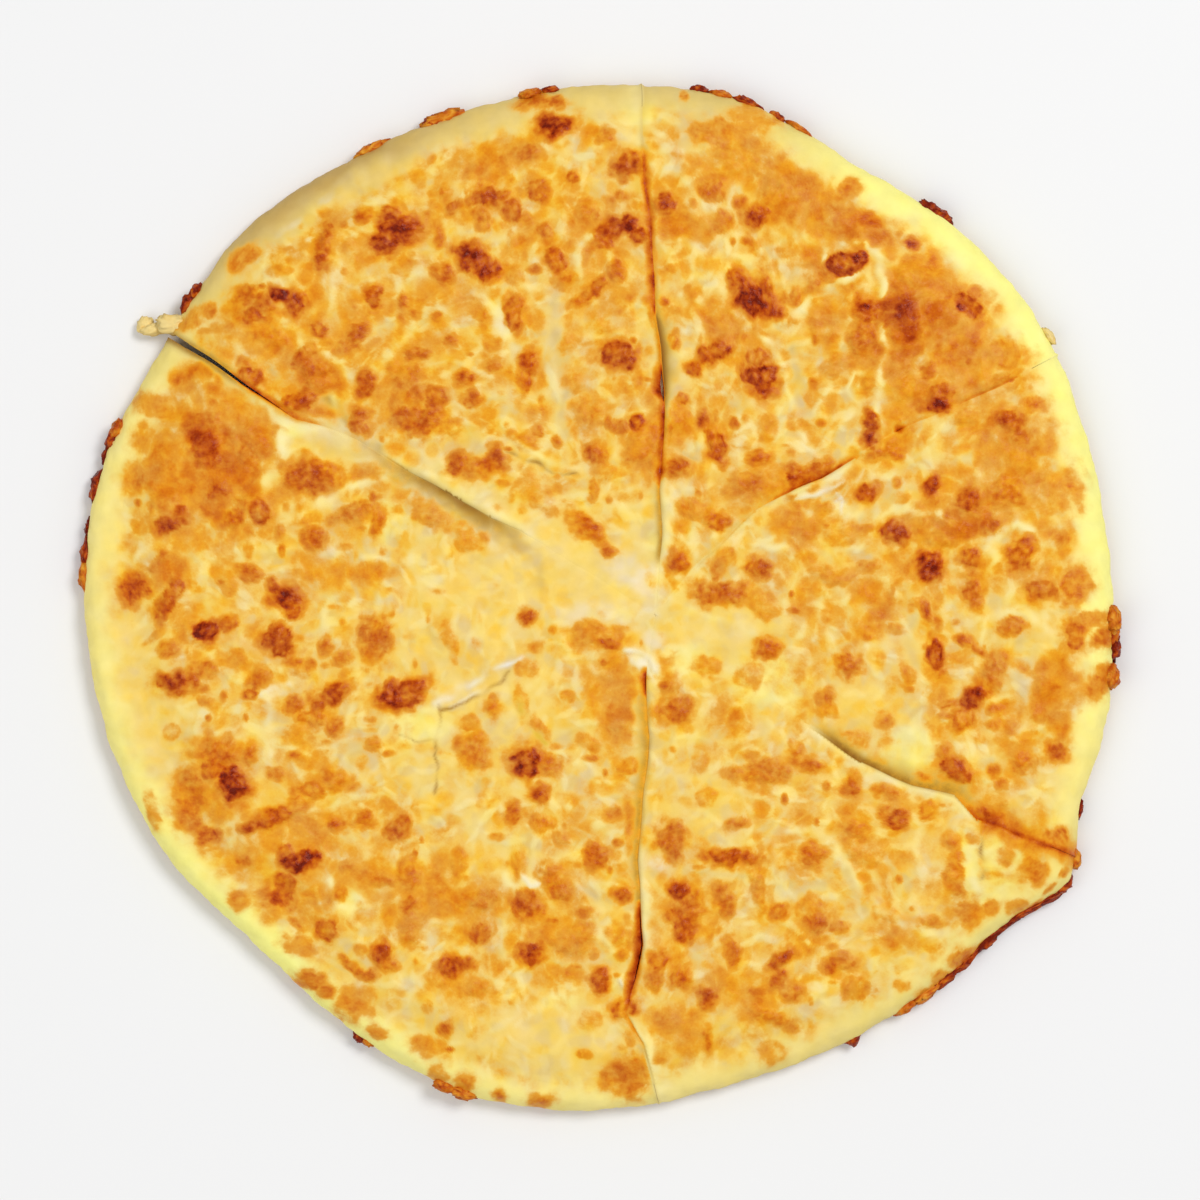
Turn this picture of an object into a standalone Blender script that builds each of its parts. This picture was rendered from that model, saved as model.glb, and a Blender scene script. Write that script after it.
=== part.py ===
"""A round Megrelian khachapuri, baked and cut into five slices that still lie together.

Each slice has three layers that show at its cut faces: a dough shell that folds round the
rim, the white cheese inside it, and the browned melted cheese on top. The bread rests on
its flat underside, with +Z up. All sizes are in millimetres and become metres at the end.
"""

import math

import bmesh
import bpy
import numpy as np
from mathutils import Vector
from mathutils.geometry import delaunay_2d_cdt

MM = 0.001
WELD = 0.00001
TOUCH_GAP = 0.3

# Outline of the rim, seen from above: a circle and how far the rim strays from it, read
# every OUTLINE_STEP degrees, anticlockwise from +X round the middle of the bread.
RIM_RADIUS = 149.0
OUTLINE_STEP = 15
RIM_STRAY = (
    0.4, -0.2, 1.9, 0.6, -2.5, 1.4, 0.2, -2.1, -2.1, -0.2, -2.4, 0.8,
    1.2, 0.2, -1.7, -6.5, -3.6, 1.0, 0.4, -1.7, -0.7, 1.0, 2.0, 2.9,
)  # fmt: skip

# Where the five cuts meet, from the middle of the bread.
HUB = (16.0, -5.2)
TIP_RADIUS = 1.2  # the slices' points are blunt

# Bumps of the rim, as bearing from the hub, half width in degrees, and how far out.
CORNER_BULGE = (-32.8, 6.0, 8.5)  # the front right slice has slid out a little
CHEESE_NUB = (149.4, 1.0, 11.5)  # cheese that ran out low beside the open cut
BURNT_DRIPS = ((173.9, 2.8, 4.0), (167.3, 1.4, 2.4), (-3.1, 3.0, 2.6))
RUN_OUT_TOP = 8.0  # the nub and the drips are lower than this
DRIP_POINTS = (-1.6, -0.8, 0.0, 0.8, 1.6)  # rim points at a drip, in its half widths

# Each cut's way out from the hub, as distance and bearing in degrees, and its half width
# there, as distance and millimetres. Cuts are named by where they leave the bread.
CUT_ROUTES = {
    "right_front": (
        (42, -36.5), (73, -35.3), (89, -33.4), (101, -31.0), (110, -32.4), (118, -31.2),
        (143, -29.8),
    ),
    "right_back": (
        (16, 50.0), (33, 47.5), (42, 46.4), (52, 42.5), (62, 39.7), (73, 38.4), (88, 37.2),
        (102, 35.1), (126, 33.3), (140, 32.8),
    ),
    "back": (
        (20, 86.0), (36, 88.2), (51, 87.1), (86, 89.8), (103, 90.5), (125, 91.3), (155, 91.6),
    ),
    "left": (
        (46, 147.8), (55, 149.8), (74, 149.7), (100, 149.6), (118, 151.3), (139, 150.6),
        (162, 150.2),
    ),
    "front": (
        (17, 261.0), (35, 266.7), (71, 265.8), (95, 267.7), (105, 267.0), (115, 265.5),
        (124, 268.3), (142, 270.6),
    ),
}  # fmt: skip
HAIRLINE = TOUCH_GAP / 2
CUT_HALF_WIDTHS = {
    "right_front": ((40, HAIRLINE), (60, 0.5), (140, 0.5)),
    "right_back": ((40, HAIRLINE), (55, 0.3), (85, 0.3), (100, HAIRLINE)),
    "back": ((25, HAIRLINE), (50, 0.5), (130, 0.5), (150, 0.3)),
    "left": (
        (75, HAIRLINE), (90, 0.4), (105, HAIRLINE), (118, 0.5), (133, 0.7), (141, 1.3),
        (150, 1.8), (163, 1.9),
    ),
    "front": ((17, HAIRLINE), (25, 0.5), (120, 0.5), (140, 0.3)),
}  # fmt: skip

# The slices, anticlockwise, each between the cut on its clockwise side and the next cut.
# The last is as wide as two, because it was left whole.
SLICES = {
    "right": ("right_front", "right_back"),
    "back_right": ("right_back", "back"),
    "back_left": ("back", "left"),
    "left": ("left", "front"),
    "front_right": ("front", "right_front"),
}

# Section through the rim: distance in from the rim, and height. The outside runs from the
# underside round the rim to the top, and the pocket's wall runs beside it, point by point.
POCKET_FLOOR = 3.6
POCKET_ROOF = 10.4
DOUGH_TOP = 13.0
FLAT_FROM = 18.0
OUTER_SECTION = (
    (FLAT_FROM, 0.0), (3.2, 0.0), (0.8, 1.8), (0.0, 4.8), (1.0, 8.0), (3.4, 10.6), (7.0, 12.0),
    (12.0, 12.75), (FLAT_FROM, DOUGH_TOP),
)  # fmt: skip
POCKET_SECTION = (
    (FLAT_FROM, POCKET_FLOOR), (13.6, 3.8), (11.9, 4.6), (11.1, 5.8), (11.0, 7.1), (11.3, 8.5),
    (12.4, 9.6), (14.6, 10.25), (FLAT_FROM, POCKET_ROOF),
)  # fmt: skip

# Melted cheese on top. Its edge stays a little inside the rim: far in at the left, where
# the dough shows as a pale band, and close at the back.
TOPPING_THICKNESS = 2.3
TOPPING_EDGE_THICKNESS = 0.5
TOPPING_EDGE_SLOPE = 9.0
TOPPING_LIFT = 0.35
TOPPING_INSET_STEP = 30
TOPPING_INSETS = (11.0, 10.0, 8.0, 6.0, 9.0, 7.0, 13.0, 14.0, 10.0, 8.0, 7.0, 9.0)
CUT_FALL = 0.7  # how much the top sinks beside a cut
CUT_FALL_WIDTH = 4.0
WAVES = ((0.35, 61.0, 25.0, 0.7), (0.30, 38.0, 110.0, 2.1), (0.22, 27.0, 160.0, 4.0))

# The largest browned blisters, as place from the middle of the bread and half lengths
# along X and Y. The finer ones are colour and low relief.
BLISTER_HEIGHT = 1.5
BLISTERS = (
    (-58.9, 105.9, 9.4, 6.5), (-34.8, 97.2, 6.5, 5.0), (5.8, 105.9, 7.5, 4.4),
    (-95.7, 85.3, 9.5, 4.4), (-79.2, 101.2, 3.4, 7.3), (-50.8, 55.7, 8.7, 10.9),
    (-87.0, 61.5, 7.3, 5.8), (-34.8, 38.9, 8.0, 4.4), (4.4, 69.3, 5.2, 5.2),
    (-29.0, 113.7, 8.7, 3.6), (-1.7, 19.1, 6.5, 3.2), (-13.1, 134.3, 4.4, 4.0),
    (43.5, 86.7, 6.5, 5.8), (45.5, 63.5, 6.5, 5.0), (34.8, 73.0, 7.5, 3.6),
    (72.5, 97.2, 7.3, 4.2), (89.9, 75.4, 5.8, 7.5), (32.5, 117.2, 4.0, 4.0),
    (76.0, 81.8, 3.4, 5.5), (105.3, 83.8, 5.0, 4.0), (30.5, 47.0, 4.5, 5.8),
    (50.4, 37.7, 4.4, 4.4), (95.1, 7.8, 4.2, 4.2), (120.4, 12.8, 3.4, 4.6),
    (107.3, -29.9, 6.0, 4.0), (36.4, 1.5, 7.0, 3.4), (103.0, -48.2, 6.5, 5.0),
    (134.8, -11.0, 4.5, 6.0), (76.0, 30.2, 4.2, 3.8), (23.2, -92.2, 5.5, 7.3),
    (38.6, -74.8, 8.0, 3.0), (60.9, -73.4, 5.0, 4.0), (52.2, -105.3, 4.2, 8.7),
    (74.0, -64.1, 4.2, 4.0), (21.3, -31.3, 4.0, 4.0), (26.1, -112.0, 6.0, 4.0),
    (105.9, -88.8, 5.0, 4.0), (-114.6, 47.0, 9.0, 7.5), (-105.9, 31.9, 5.5, 6.0),
    (-84.1, 33.9, 6.5, 5.8), (-124.2, 22.3, 5.5, 5.5), (-91.4, 0.0, 4.4, 3.8),
    (-113.1, -8.6, 6.0, 4.0), (-118.9, -23.7, 5.8, 3.2), (-56.6, -28.4, 6.5, 4.2),
    (-84.1, -32.8, 7.0, 6.0), (-106.8, -47.2, 8.0, 8.0), (-91.4, -62.6, 10.0, 3.0),
    (-89.0, -78.3, 6.0, 5.5), (-20.9, -46.7, 5.2, 5.2), (-42.1, -106.7, 5.0, 3.8),
    (-65.0, -98.0, 7.0, 6.0), (-73.9, -113.0, 6.0, 4.5), (-21.8, -89.3, 6.0, 4.4),
)  # fmt: skip

# Mesh steps.
RIM_SEGMENT = 11.5
EDGE_SHARES = (0.0, 0.015, 0.05)
ROUTE_STEP = 11.0
TOP_STEP = 6.2
UNDER_STEP = 16.0
BLISTER_RING = 6
CLEAR_OF_BLISTER = 3.6
CLEAR_OF_EDGE = 2.6
STRAY_SEED = 7

# Colours, as linear RGB, and roughness.
DOUGH_LOOK = ((0.86, 0.66, 0.25), 0.6)
FILLING_LOOK = ((0.86, 0.79, 0.52), 0.5)
TOPPING_LOOK = ((0.80, 0.47, 0.10), 0.4)


def periodic(values, step, degrees):
    """A smooth closed curve through values, one every step degrees."""
    place = np.asarray(degrees, float) % 360 / step
    low = np.floor(place).astype(int)
    part = place - low
    four = [np.asarray(values, float)[(low + k) % len(values)] for k in (-1, 0, 1, 2)]
    bend = (-four[0] + 3 * four[1] - 3 * four[2] + four[3]) * part
    curve = (2 * four[0] - 5 * four[1] + 4 * four[2] - four[3] + bend) * part
    return four[1] + part * (four[2] - four[0] + curve) / 2


def bump(bearings, centre, half_width, out):
    """How far a named bump pushes the rim out at these bearings from the hub."""
    off = (bearings - centre + 180) % 360 - 180
    return out * np.exp(-((off / half_width) ** 2))


def rim_distance(bearings):
    """Distance from the hub to the rim at these bearings, found by halving."""
    bearings = np.asarray(bearings, float)
    away = np.stack([np.cos(np.radians(bearings)), np.sin(np.radians(bearings))])
    near = np.zeros_like(bearings)
    far = np.full_like(bearings, 2 * RIM_RADIUS)
    for _ in range(40):
        middle = (near + far) / 2
        x = HUB[0] + middle * away[0]
        y = HUB[1] + middle * away[1]
        turned = np.degrees(np.arctan2(y, x))
        rim = RIM_RADIUS + periodic(RIM_STRAY, OUTLINE_STEP, turned)
        inside = np.hypot(x, y) < rim
        near = np.where(inside, middle, near)
        far = np.where(inside, far, middle)
    return near + bump(bearings, *CORNER_BULGE)


def route_bearing(cut, distance):
    """Bearing of a cut's middle at this distance from the hub."""
    steps = CUT_ROUTES[cut]
    return np.interp(distance, [s[0] for s in steps], [s[1] for s in steps])


def edge_bearing(cut, side, distance):
    """Bearing of one lip of a cut: side 1 is its anticlockwise lip, and -1 the other."""
    widths = CUT_HALF_WIDTHS[cut]
    half = np.interp(distance, [w[0] for w in widths], [w[1] for w in widths])
    return route_bearing(cut, distance) + side * np.degrees(np.arcsin(half / distance))


def slice_span(cuts, distance):
    """The bearings of a slice's two cut faces at this distance, the second larger."""
    start = edge_bearing(cuts[0], 1, distance)
    end = edge_bearing(cuts[1], -1, distance)
    return start, end + 360 * np.ceil((start - end) / 360)


def lip_distance(cuts, which, inset):
    """How far from the hub a cut face meets the line this far in from the rim."""
    distance = RIM_RADIUS
    for _ in range(12):
        bearing = slice_span(cuts, distance)[which]
        room = inset(bearing) if callable(inset) else inset
        distance = float(rim_distance(np.array([bearing]))[0]) - room
    return distance


def place(bearings, distances):
    """Points in the bread's own frame, from bearings and distances at the hub."""
    turned = np.radians(bearings)
    x = HUB[0] + distances * np.cos(turned)
    y = HUB[1] + distances * np.sin(turned)
    return np.stack([x, y], axis=-1)


def ring(cuts, inset, shares):
    """Points of a slice along the line this far in from the rim, at these shares of it."""
    ends = [lip_distance(cuts, which, inset) for which in (0, 1)]
    start = slice_span(cuts, ends[0])[0]
    end = slice_span(cuts, ends[1])[1]
    bearings = start + (end - start) * shares
    room = inset(bearings) if callable(inset) else inset
    distances = rim_distance(bearings) - room
    distances[[0, -1]] = ends
    return place(bearings, distances)


def rim_shares(cuts, segment, ends, drips=()):
    """Even shares of a slice's rim, with the closer ones that its corners and drips need."""
    start, end = slice_span(cuts, RIM_RADIUS)
    count = int(round(math.radians(end - start) * RIM_RADIUS / segment))
    even = np.linspace(0, 1, count + 1)[1:-1]
    for bearing, half_width, _ in drips:
        middle = ((bearing - start) % 360) / (end - start)
        if middle > 1:
            continue
        reach = half_width / (end - start)
        even = even[np.abs(even - middle) > 2.2 * reach]
        even = np.sort(np.append(even, middle + reach * np.array(DRIP_POINTS)))
    near = np.array(ends) * 60 / (end - start)
    return np.concatenate([near, even, 1 - near[::-1]])


def lip(cuts, which, last, step):
    """Points along one cut face, from the slice's tip out to the distance last."""
    count = max(2, int(round((last - TIP_RADIUS) / step)))
    distances = np.linspace(TIP_RADIUS, last, count + 1)
    bearings = np.array([slice_span(cuts, d)[which] for d in distances])
    return place(bearings, distances)


def slice_outline(cuts, inset, shares, step):
    """One slice's closed outline, anticlockwise, and the lengths of its three runs."""
    outer = ring(cuts, inset, shares)
    first = lip(cuts, 0, lip_distance(cuts, 0, inset), step)
    second = lip(cuts, 1, lip_distance(cuts, 1, inset), step)
    outline = np.concatenate([first[:-1], outer, second[-2::-1]])
    return outline, (first, outer, second)


def fill(outline, inner):
    """Triangles over the outline and the points inside it, as indices into both."""
    points = np.concatenate([outline, inner]) if len(inner) else outline
    flat = [Vector((float(x), float(y))) for x, y in points]
    edge = list(range(len(outline)))
    done = delaunay_2d_cdt(flat, [], [edge], 1, 1e-6)
    source = [own[0] for own in done[3]]
    return points, [[source[i] for i in face] for face in done[2]]


def at_height(points, height):
    """Flat points with one height, or a height each."""
    return np.column_stack([points, np.broadcast_to(height, len(points))])


def strip(first, second):
    """The wall between two rows of as many points."""
    count = len(first)
    faces = [[i, i + 1, count + i + 1, count + i] for i in range(count - 1)]
    return np.concatenate([first, second]), faces


def make_solid(name, patches, material):
    """Weld the patches into one closed mesh that faces outwards."""
    bm = bmesh.new()
    for points, faces in patches:
        corners = [bm.verts.new([float(c) * MM for c in point]) for point in points]
        for face in faces:
            bm.faces.new([corners[i] for i in face])
    bmesh.ops.remove_doubles(bm, verts=bm.verts[:], dist=WELD * MM)
    bmesh.ops.triangulate(bm, faces=bm.faces[:])
    bmesh.ops.recalc_face_normals(bm, faces=bm.faces[:])
    mesh = bpy.data.meshes.new(name)
    bm.to_mesh(mesh)
    bm.free()
    mesh.materials.append(material)
    mesh.shade_smooth()
    mesh.set_sharp_from_angle(angle=math.radians(40))
    solid = bpy.data.objects.new(name, mesh)
    bpy.context.scene.collection.objects.link(solid)
    return solid


def section_rows(cuts, section, shares):
    """The rows of a rim section swept along a slice's rim."""
    return [at_height(ring(cuts, inset, shares), height) for inset, height in section]


def run_out(bearings):
    """How far the cheese that ran out stands beyond the rim."""
    return sum(bump(bearings, *one) for one in (CHEESE_NUB, *BURNT_DRIPS))


def outer_rows(cuts, shares):
    """The dough's outside, with the cheese that ran out on its rows below RUN_OUT_TOP."""
    rows = []
    for inset, height in OUTER_SECTION:
        share = min(1.0, (RUN_OUT_TOP - height) / 3) if 0 < height < RUN_OUT_TOP else 0.0
        rows.append((lambda at, d=inset, s=share: d - s * run_out(at), height))
    return section_rows(cuts, rows, shares)


def sweep(rows):
    """The surface through rows of as many points."""
    return [strip(a, b) for a, b in zip(rows[:-1], rows[1:])]


def make_dough(name, cuts, material):
    """A slice of the dough shell: floor, rim and roof round the filling's pocket."""
    shares = rim_shares(cuts, RIM_SEGMENT, EDGE_SHARES, BURNT_DRIPS)
    outer = outer_rows(cuts, shares)
    pocket = section_rows(cuts, POCKET_SECTION, shares)
    outline, runs = slice_outline(cuts, FLAT_FROM, shares, ROUTE_STEP)
    points, faces = fill(outline, [])
    levels = ((0.0, POCKET_FLOOR), (POCKET_ROOF, DOUGH_TOP))
    patches = sweep(outer) + sweep(pocket)
    for low, high in levels:
        patches.append((at_height(points, low), faces))
        patches.append((at_height(points, high), faces))
        for side in (runs[0], runs[2]):
            patches.append(strip(at_height(side, low), at_height(side, high)))
        tip = np.stack([runs[0][0], runs[2][0]])
        patches.append(strip(at_height(tip, low), at_height(tip, high)))
    for end in (0, -1):
        face_out = np.array([row[end] for row in outer])
        face_in = np.array([row[end] for row in pocket])
        patches.append(strip(face_out, face_in))
    return make_solid(name, patches, material)


def make_filling(name, cuts, material):
    """A slice of the cheese inside, which fits the pocket with a small gap all round."""
    middle = (POCKET_FLOOR + POCKET_ROOF) / 2
    half = (POCKET_ROOF - POCKET_FLOOR) / 2
    squeeze = (half - TOUCH_GAP) / half
    section = [(d + TOUCH_GAP, middle + (z - middle) * squeeze) for d, z in POCKET_SECTION]
    low, high = section[0][1], section[-1][1]
    shares = rim_shares(cuts, RIM_SEGMENT, EDGE_SHARES, BURNT_DRIPS)
    rows = section_rows(cuts, section, shares)
    outline, runs = slice_outline(cuts, section[0][0], shares, ROUTE_STEP)
    points, faces = fill(outline, [])
    patches = sweep(rows)
    patches.append((at_height(points, low), faces))
    patches.append((at_height(points, high), faces))
    for side in (runs[0], runs[2]):
        patches.append(strip(at_height(side, low), at_height(side, high)))
    tip = np.stack([runs[0][0], runs[2][0]])
    patches.append(strip(at_height(tip, low), at_height(tip, high)))
    for end in (0, -1):
        face = np.array([row[end] for row in rows])
        patches.append((face, [list(range(len(face)))]))
    return make_solid(name, patches, material)


def topping_inset(bearings):
    """How far inside the rim the melted cheese ends, with a small seeded stray."""
    rng = np.random.default_rng(STRAY_SEED)
    inset = periodic(TOPPING_INSETS, TOPPING_INSET_STEP, bearings)
    for turns in (11, 17, 29):
        phase = rng.uniform(0, 2 * math.pi)
        inset = inset + 0.7 * np.sin(np.radians(bearings) * turns + phase)
    return inset


def hub_polar(points):
    """Bearings and distances of points from the hub."""
    off = points - np.array(HUB)
    return np.degrees(np.arctan2(off[:, 1], off[:, 0])), np.hypot(off[:, 0], off[:, 1])


def from_rim(points):
    """How far in from the rim each point is."""
    bearings, distances = hub_polar(points)
    return rim_distance(bearings) - distances


def under_height(points):
    """Height of the melted cheese's underside, which follows the dough's top."""
    section = OUTER_SECTION[3:]
    dough = np.interp(from_rim(points), [s[0] for s in section], [s[1] for s in section])
    return dough + TOPPING_LIFT


def cut_distance(points, cuts):
    """How far each point of a slice is from its nearer cut face."""
    bearings, distances = hub_polar(points)
    reach = np.maximum(distances, TIP_RADIUS)
    start, end = slice_span(cuts, reach)
    turned = start + (bearings - start + 90) % 360 - 90
    nearer = np.radians(np.minimum(turned - start, end - turned))
    return np.maximum(reach * np.sin(np.clip(nearer, 0, math.pi / 2)), 0)


def blister_relief(points):
    """Height of the browned blisters over the cheese round them."""
    relief = np.zeros(len(points))
    for x, y, half_x, half_y in BLISTERS:
        off = ((points[:, 0] - x) / half_x) ** 2 + ((points[:, 1] - y) / half_y) ** 2
        relief = np.maximum(relief, BLISTER_HEIGHT * np.exp(-(off**2)))
    return relief


def top_height(points, cuts):
    """Height of the melted cheese's top: waves, blisters, and falls at its edges."""
    thickness = np.full(len(points), TOPPING_THICKNESS)
    for height, length, bearing, phase in WAVES:
        turned = math.radians(bearing)
        along = points[:, 0] * math.cos(turned) + points[:, 1] * math.sin(turned)
        thickness += height * np.sin(2 * math.pi * along / length + phase)
    thickness += blister_relief(points)
    thickness -= CUT_FALL * np.exp(-cut_distance(points, cuts) / CUT_FALL_WIDTH)
    bearings, _ = hub_polar(points)
    inside = np.maximum(from_rim(points) - topping_inset(bearings), 0)
    share = np.clip(inside / TOPPING_EDGE_SLOPE, 0, 1) ** 0.6
    thickness = TOPPING_EDGE_THICKNESS + (thickness - TOPPING_EDGE_THICKNESS) * share
    return under_height(points) + thickness


def hex_grid(step):
    """Even points over the whole bread, in staggered rows."""
    reach = RIM_RADIUS * 1.2
    rows = np.arange(-reach, reach, step * math.sqrt(3) / 2)
    columns = np.arange(-reach, reach, step)
    return np.array([(x + step / 2 * (i % 2), y) for i, y in enumerate(rows) for x in columns])


def inside_slice(points, cuts, clear):
    """Those points that are this far inside a slice of the melted cheese."""
    bearings, distances = hub_polar(points)
    start, end = slice_span(cuts, np.maximum(distances, TIP_RADIUS))
    turned = (bearings - start) % 360
    within = (turned < end - start) & (distances > TIP_RADIUS + clear)
    within &= from_rim(points) - topping_inset(bearings) > clear
    within[within] = cut_distance(points[within], cuts) > clear
    return points[within]


def blister_points(cuts):
    """The middle of each blister of a slice and a ring of points round it."""
    own = inside_slice(np.array([b[:2] for b in BLISTERS]), cuts, 1.5)
    found = []
    for x, y, half_x, half_y in BLISTERS:
        if not (own == (x, y)).all(axis=1).any():
            continue
        found.append((x, y))
        for k in range(BLISTER_RING):
            turned = 2 * math.pi * k / BLISTER_RING
            found.append((x + half_x * math.cos(turned), y + half_y * math.sin(turned)))
    return inside_slice(np.array(found), cuts, CLEAR_OF_EDGE / 2)


def thinned(points, kept, clear):
    """The points that are this clear of those already kept."""
    apart = np.hypot(*(points[:, None, :] - kept[None, :, :]).transpose(2, 0, 1))
    return points[(apart > clear).all(axis=1)]


def spaced(points, clear):
    """The points in order, without any that comes too near an earlier one."""
    kept = [points[0]]
    for point in points[1:]:
        if min(np.hypot(*(point - other)) for other in kept) > clear:
            kept.append(point)
    return np.array(kept)


def make_topping(name, cuts, material):
    """A slice of the melted cheese, with the browned blisters as relief."""
    shares = rim_shares(cuts, TOP_STEP, EDGE_SHARES[:1])
    outline, runs = slice_outline(cuts, topping_inset, shares, TOP_STEP)
    marks = spaced(blister_points(cuts), CLEAR_OF_BLISTER / 2)
    even = inside_slice(hex_grid(TOP_STEP), cuts, CLEAR_OF_EDGE)
    even = thinned(even, marks, CLEAR_OF_BLISTER)
    top_points, top_faces = fill(outline, np.concatenate([marks, even]))
    knees = np.concatenate([ring(cuts, inset, shares) for inset, _ in OUTER_SECTION[6:]])
    knees = inside_slice(knees, cuts, 0.8)
    sparse = inside_slice(hex_grid(UNDER_STEP), cuts, CLEAR_OF_EDGE)
    sparse = sparse[from_rim(sparse) > FLAT_FROM + CLEAR_OF_EDGE]
    under_points, under_faces = fill(outline, np.concatenate([knees, sparse]))
    top = at_height(top_points, top_height(top_points, cuts))
    under = at_height(under_points, under_height(under_points))
    count = len(outline)
    loop = [*range(count), 0]
    wall = strip(under[loop], top[loop])
    return make_solid(name, [(top, top_faces), (under, under_faces), wall], material)


def make_material(name, look):
    """A plain Principled material of one colour."""
    colour, roughness = look
    material = bpy.data.materials.new(name)
    material.use_nodes = True
    shader = material.node_tree.nodes["Principled BSDF"]
    shader.inputs["Base Color"].default_value = (*colour, 1.0)
    shader.inputs["Roughness"].default_value = roughness
    shader.inputs["Metallic"].default_value = 0.0
    return material


def centre_on_origin(solids):
    """Hang the solids on an empty that puts the middle of their box over the origin."""
    corners = np.array([v.co[:2] for solid in solids for v in solid.data.vertices])
    middle = (corners.min(axis=0) + corners.max(axis=0)) / 2
    bread = bpy.data.objects.new("khachapuri", None)
    bpy.context.scene.collection.objects.link(bread)
    bread.location = (-middle[0], -middle[1], 0.0)
    for solid in solids:
        solid.parent = bread


def main():
    for old in list(bpy.data.objects):
        bpy.data.objects.remove(old)
    dough = make_material("baked_dough", DOUGH_LOOK)
    filling = make_material("white_cheese", FILLING_LOOK)
    topping = make_material("melted_cheese", TOPPING_LOOK)
    solids = []
    for where, cuts in SLICES.items():
        solids.append(make_dough(f"dough_{where}", cuts, dough))
        solids.append(make_filling(f"filling_{where}", cuts, filling))
        solids.append(make_topping(f"topping_{where}", cuts, topping))
    centre_on_origin(solids)


main()
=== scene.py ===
"""The round Megrelian khachapuri of the photo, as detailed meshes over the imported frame.

Every node of the frame is replaced by a finer piece of the same name with _look: the dough
shells, the cheese inside, and the browned melted cheese on top. Sizes are in millimetres
from the middle of the bread, and places read from the photo are in its pixels.
"""

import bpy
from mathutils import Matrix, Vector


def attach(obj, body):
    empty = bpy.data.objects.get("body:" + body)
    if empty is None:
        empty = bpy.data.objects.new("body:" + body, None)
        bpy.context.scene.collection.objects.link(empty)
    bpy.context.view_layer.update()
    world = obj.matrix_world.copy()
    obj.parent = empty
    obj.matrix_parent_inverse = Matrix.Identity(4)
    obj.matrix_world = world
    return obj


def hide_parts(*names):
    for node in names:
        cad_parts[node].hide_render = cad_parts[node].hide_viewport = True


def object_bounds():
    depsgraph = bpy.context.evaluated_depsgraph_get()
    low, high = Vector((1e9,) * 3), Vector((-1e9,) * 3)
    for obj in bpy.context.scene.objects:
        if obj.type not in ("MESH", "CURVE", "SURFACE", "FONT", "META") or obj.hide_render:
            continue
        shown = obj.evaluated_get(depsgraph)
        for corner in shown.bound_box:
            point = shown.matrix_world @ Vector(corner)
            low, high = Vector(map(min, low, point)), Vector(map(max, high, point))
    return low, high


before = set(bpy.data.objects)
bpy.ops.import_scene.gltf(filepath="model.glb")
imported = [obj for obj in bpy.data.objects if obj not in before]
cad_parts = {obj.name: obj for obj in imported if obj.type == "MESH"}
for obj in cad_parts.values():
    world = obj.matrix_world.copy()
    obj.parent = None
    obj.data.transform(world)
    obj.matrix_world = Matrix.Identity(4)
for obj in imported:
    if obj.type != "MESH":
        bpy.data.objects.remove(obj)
cad_box = [list(corner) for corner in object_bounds()]

import math

import bmesh
import bpy
import numpy as np
from mathutils import Vector
from mathutils.geometry import delaunay_2d_cdt

MM = 0.001

# The photo looks straight down: its width in pixels, millimetres a pixel, the pixel over the
# middle of the bread, and how far the middle of the outline's box lies from it.
PHOTO_WIDTH = 1200
PIXEL = 0.29
PHOTO_MIDDLE = (600.0, 597.0)
OFF_CENTRE = (0.7075, 0.060)

# Outline of the rim, as in the frame: how far it strays from a circle, every 15 degrees.
RIM_RADIUS = 149.0
RIM_STRAY = (
    0.4, -0.2, 1.9, 0.6, -2.5, 1.4, 0.2, -2.1, -2.1, -0.2, -2.4, 0.8,
    1.2, 0.2, -1.7, -6.5, -3.6, 1.0, 0.4, -1.7, -0.7, 1.0, 2.0, 2.9,
)  # fmt: skip

# The hub, where the cuts meet, how far from it the tips of the dough and of the melted cheese
# are, and the rim's bulge at the right front cut: its bearing, half width and height.
HUB = (16.0, -5.2)
TIP_RADIUS = 1.2
CHEESE_TIP = 0.02
CORNER_BULGE = (-32.8, 6.0, 8.5)

# Rounds of halving to find the rim, and of correcting where a cut meets it.
HALVINGS = 30
LIP_ROUNDS = 14

# The cuts' ways out from the hub, as distance and bearing, and how they sway about them, as
# height and length of waves that grow from a distance on. Then their half widths, as
# distance and millimetres, with a third number where the clockwise side differs: in the
# dough and cheese inside, and in the melted cheese, which has run together near the middle.
CUT_SWAY = ((0.24, 7.1), (0.12, 2.9))
SWAY_FROM = 12
CUT_ROUTES = {
    "right_front": (
        (42, -36.5), (73, -35.3), (89, -33.4), (101, -31.0), (110, -32.4), (118, -31.2),
        (143, -29.8),
    ),
    "right_back": (
        (16, 50.0), (33, 47.5), (42, 46.4), (52, 42.5), (62, 39.7), (73, 38.4), (88, 37.2),
        (102, 35.1), (126, 33.3), (140, 32.8),
    ),
    "back": (
        (20, 86.0), (36, 88.2), (51, 87.1), (86, 89.8), (103, 90.5), (125, 91.3), (155, 91.6),
    ),
    "left": (
        (46, 147.8), (55, 149.8), (74, 149.7), (100, 149.6), (118, 151.3), (139, 150.6),
        (162, 150.2),
    ),
    "front": (
        (17, 261.0), (35, 266.7), (71, 265.8), (95, 267.7), (105, 267.0), (115, 265.5),
        (124, 268.3), (142, 270.6),
    ),
}  # fmt: skip
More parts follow.
